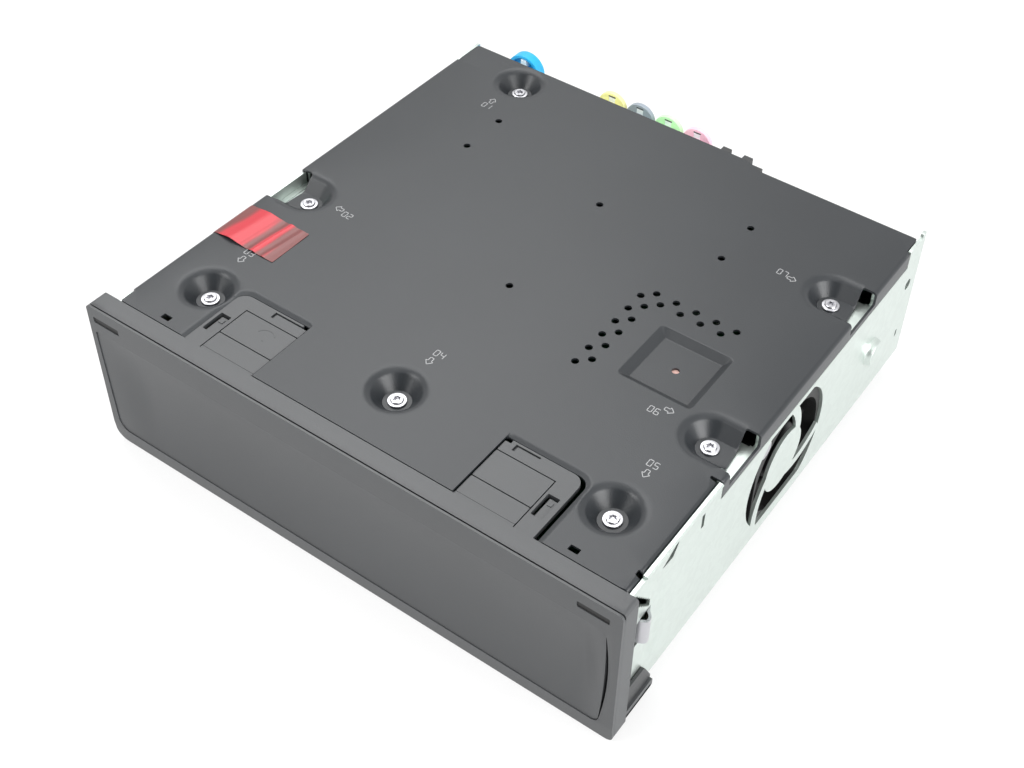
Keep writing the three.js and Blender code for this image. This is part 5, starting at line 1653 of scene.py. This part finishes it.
def add_film():
    bend = bend_x(-1)
    start = bend - BEND * QUARTER - (FILM["fold"] - BEND)
    y0, y1 = FILM["y"]
    outline = fine(box_loop(start, FILM["x"][1], y0, y1, FILM["corner"]), FILM["step"])
    flat = np.arange(bend + 0.4, FILM["x"][1] - 0.3, 0.45)
    columns = np.concatenate((np.linspace(start + 0.4, bend, 9), flat))
    points = [(a, b) for a in columns for b in np.arange(y0 + 0.6, y1 - 0.4, 0.8)]
    data = slab_data(
        outline,
        lambda a, b: film_lift(a, b) + FILM["thick"],
        film_lift,
        COVER_PLACE,
        (),
        on_sheet(points, outline),
    )
    add_piece("red_seal_film", [data], SEAL, nodes=["seal_label"], sharp=60)


add_film()


# Faint marks: an arrow to each screw and its plain number
ARROW = [(-0.6, 3.0), (0.6, 3.0), (0.6, 1.5), (1.3, 1.5), (0, 0), (-1.3, 1.5), (-0.6, 1.5)]
MARK_SIZE = {"stroke": 0.24, "height": 0.02, "digit": (1.3, 2.3), "gap": 2.0, "short": 0.08, "sunk": 0.02}
MARKS = {
    1: ((32.0, 156.5), (0, 1), (32.0, 151.6)),
    2: ((27.8, 77.9), (-1, 0), (33.4, 76.8)),
    3: ((21.9, 40.1), (0, -1), (21.8, 45.4)),
    4: ((94.7, 39.9), (0, -1), (95.4, 45.2)),
    5: ((167.3, 41.0), (0, -1), (167.2, 46.4)),
    6: ((161.7, 65.9), (1, 0), (156.6, 63.4)),
    7: ((162.8, 135.7), (1, 0), (157.6, 136.6)),
}
SEGMENTS = {
    "a": ((0, 1), (1, 1)), "b": ((1, 1), (1, 0.5)), "c": ((1, 0.5), (1, 0)), "d": ((0, 0), (1, 0)),
    "e": ((0, 0), (0, 0.5)), "f": ((0, 0.5), (0, 1)), "g": ((0, 0.5), (1, 0.5)),
}
DIGITS = {0: "abcdef", 1: "bc", 2: "abged", 3: "abgcd", 4: "fgbc", 5: "afgcd", 6: "afgedc", 7: "abc"}


def stroke_data(start, end):
    """A short raised line on the cover, which stops a little short of both ends."""
    start, end = np.array(start, float), np.array(end, float)
    short = unit(end - start) * MARK_SIZE["short"]
    loop = ribbon([start + short, end - short], MARK_SIZE["stroke"])
    return plate_data(loop, -MARK_SIZE["sunk"], MARK_SIZE["height"], upright)


def add_marks():
    parts = []
    for number, (tip, direction, place) in MARKS.items():
        dx, dy = direction
        points = [(tip[0] - dx * b + dy * a, tip[1] - dy * b - dx * a) for a, b in ARROW]
        parts += [stroke_data(p, q) for p, q in zip(points, points[1:] + points[:1])]
        width, height = MARK_SIZE["digit"]
        for k, digit in enumerate((0, number)):
            x = place[0] + (k - 0.5) * MARK_SIZE["gap"] - width / 2
            y = place[1] - height / 2
            for letter in DIGITS[digit]:
                parts.append(stroke_data(*((x + u * width, y + v * height) for u, v in SEGMENTS[letter])))
    add_piece("cover_marks", parts, MARK, sharp=40)


add_marks()


# Carried-over CAD nodes
NODE_FINISH = {
    "galvanised_steel": ZINC,
    "black_steel": PAINT,
    "black_plastic": PLASTIC,
    "screw_steel": BRIGHT,
    "board_green": GREEN,
    "aluminium": ALUMINIUM,
    "brass": BRASS,
    "chip_black": CHIP,
    "fan_black": FAN_BLACK_AND_SLOT_SHADE,
    "connector_black": DARK_PLASTIC_AND_SHADE,
    **{f"connector_{name}": material for name, material in SOCKETS.items()},
    "seal_red": SEAL,
    "pad_pink": PAD,
    "capacitor_blue": CAPACITOR,
}
slot_of = {part["node"]: part["material_slot"] for part in frame["record"]["subparts"]}
for node, piece in frame["nodes"].items():
    material = NODE_FINISH[slot_of[node]]
    if piece.material_slots:
        piece.material_slots[0].material = material
    else:
        piece.data.materials.append(material)
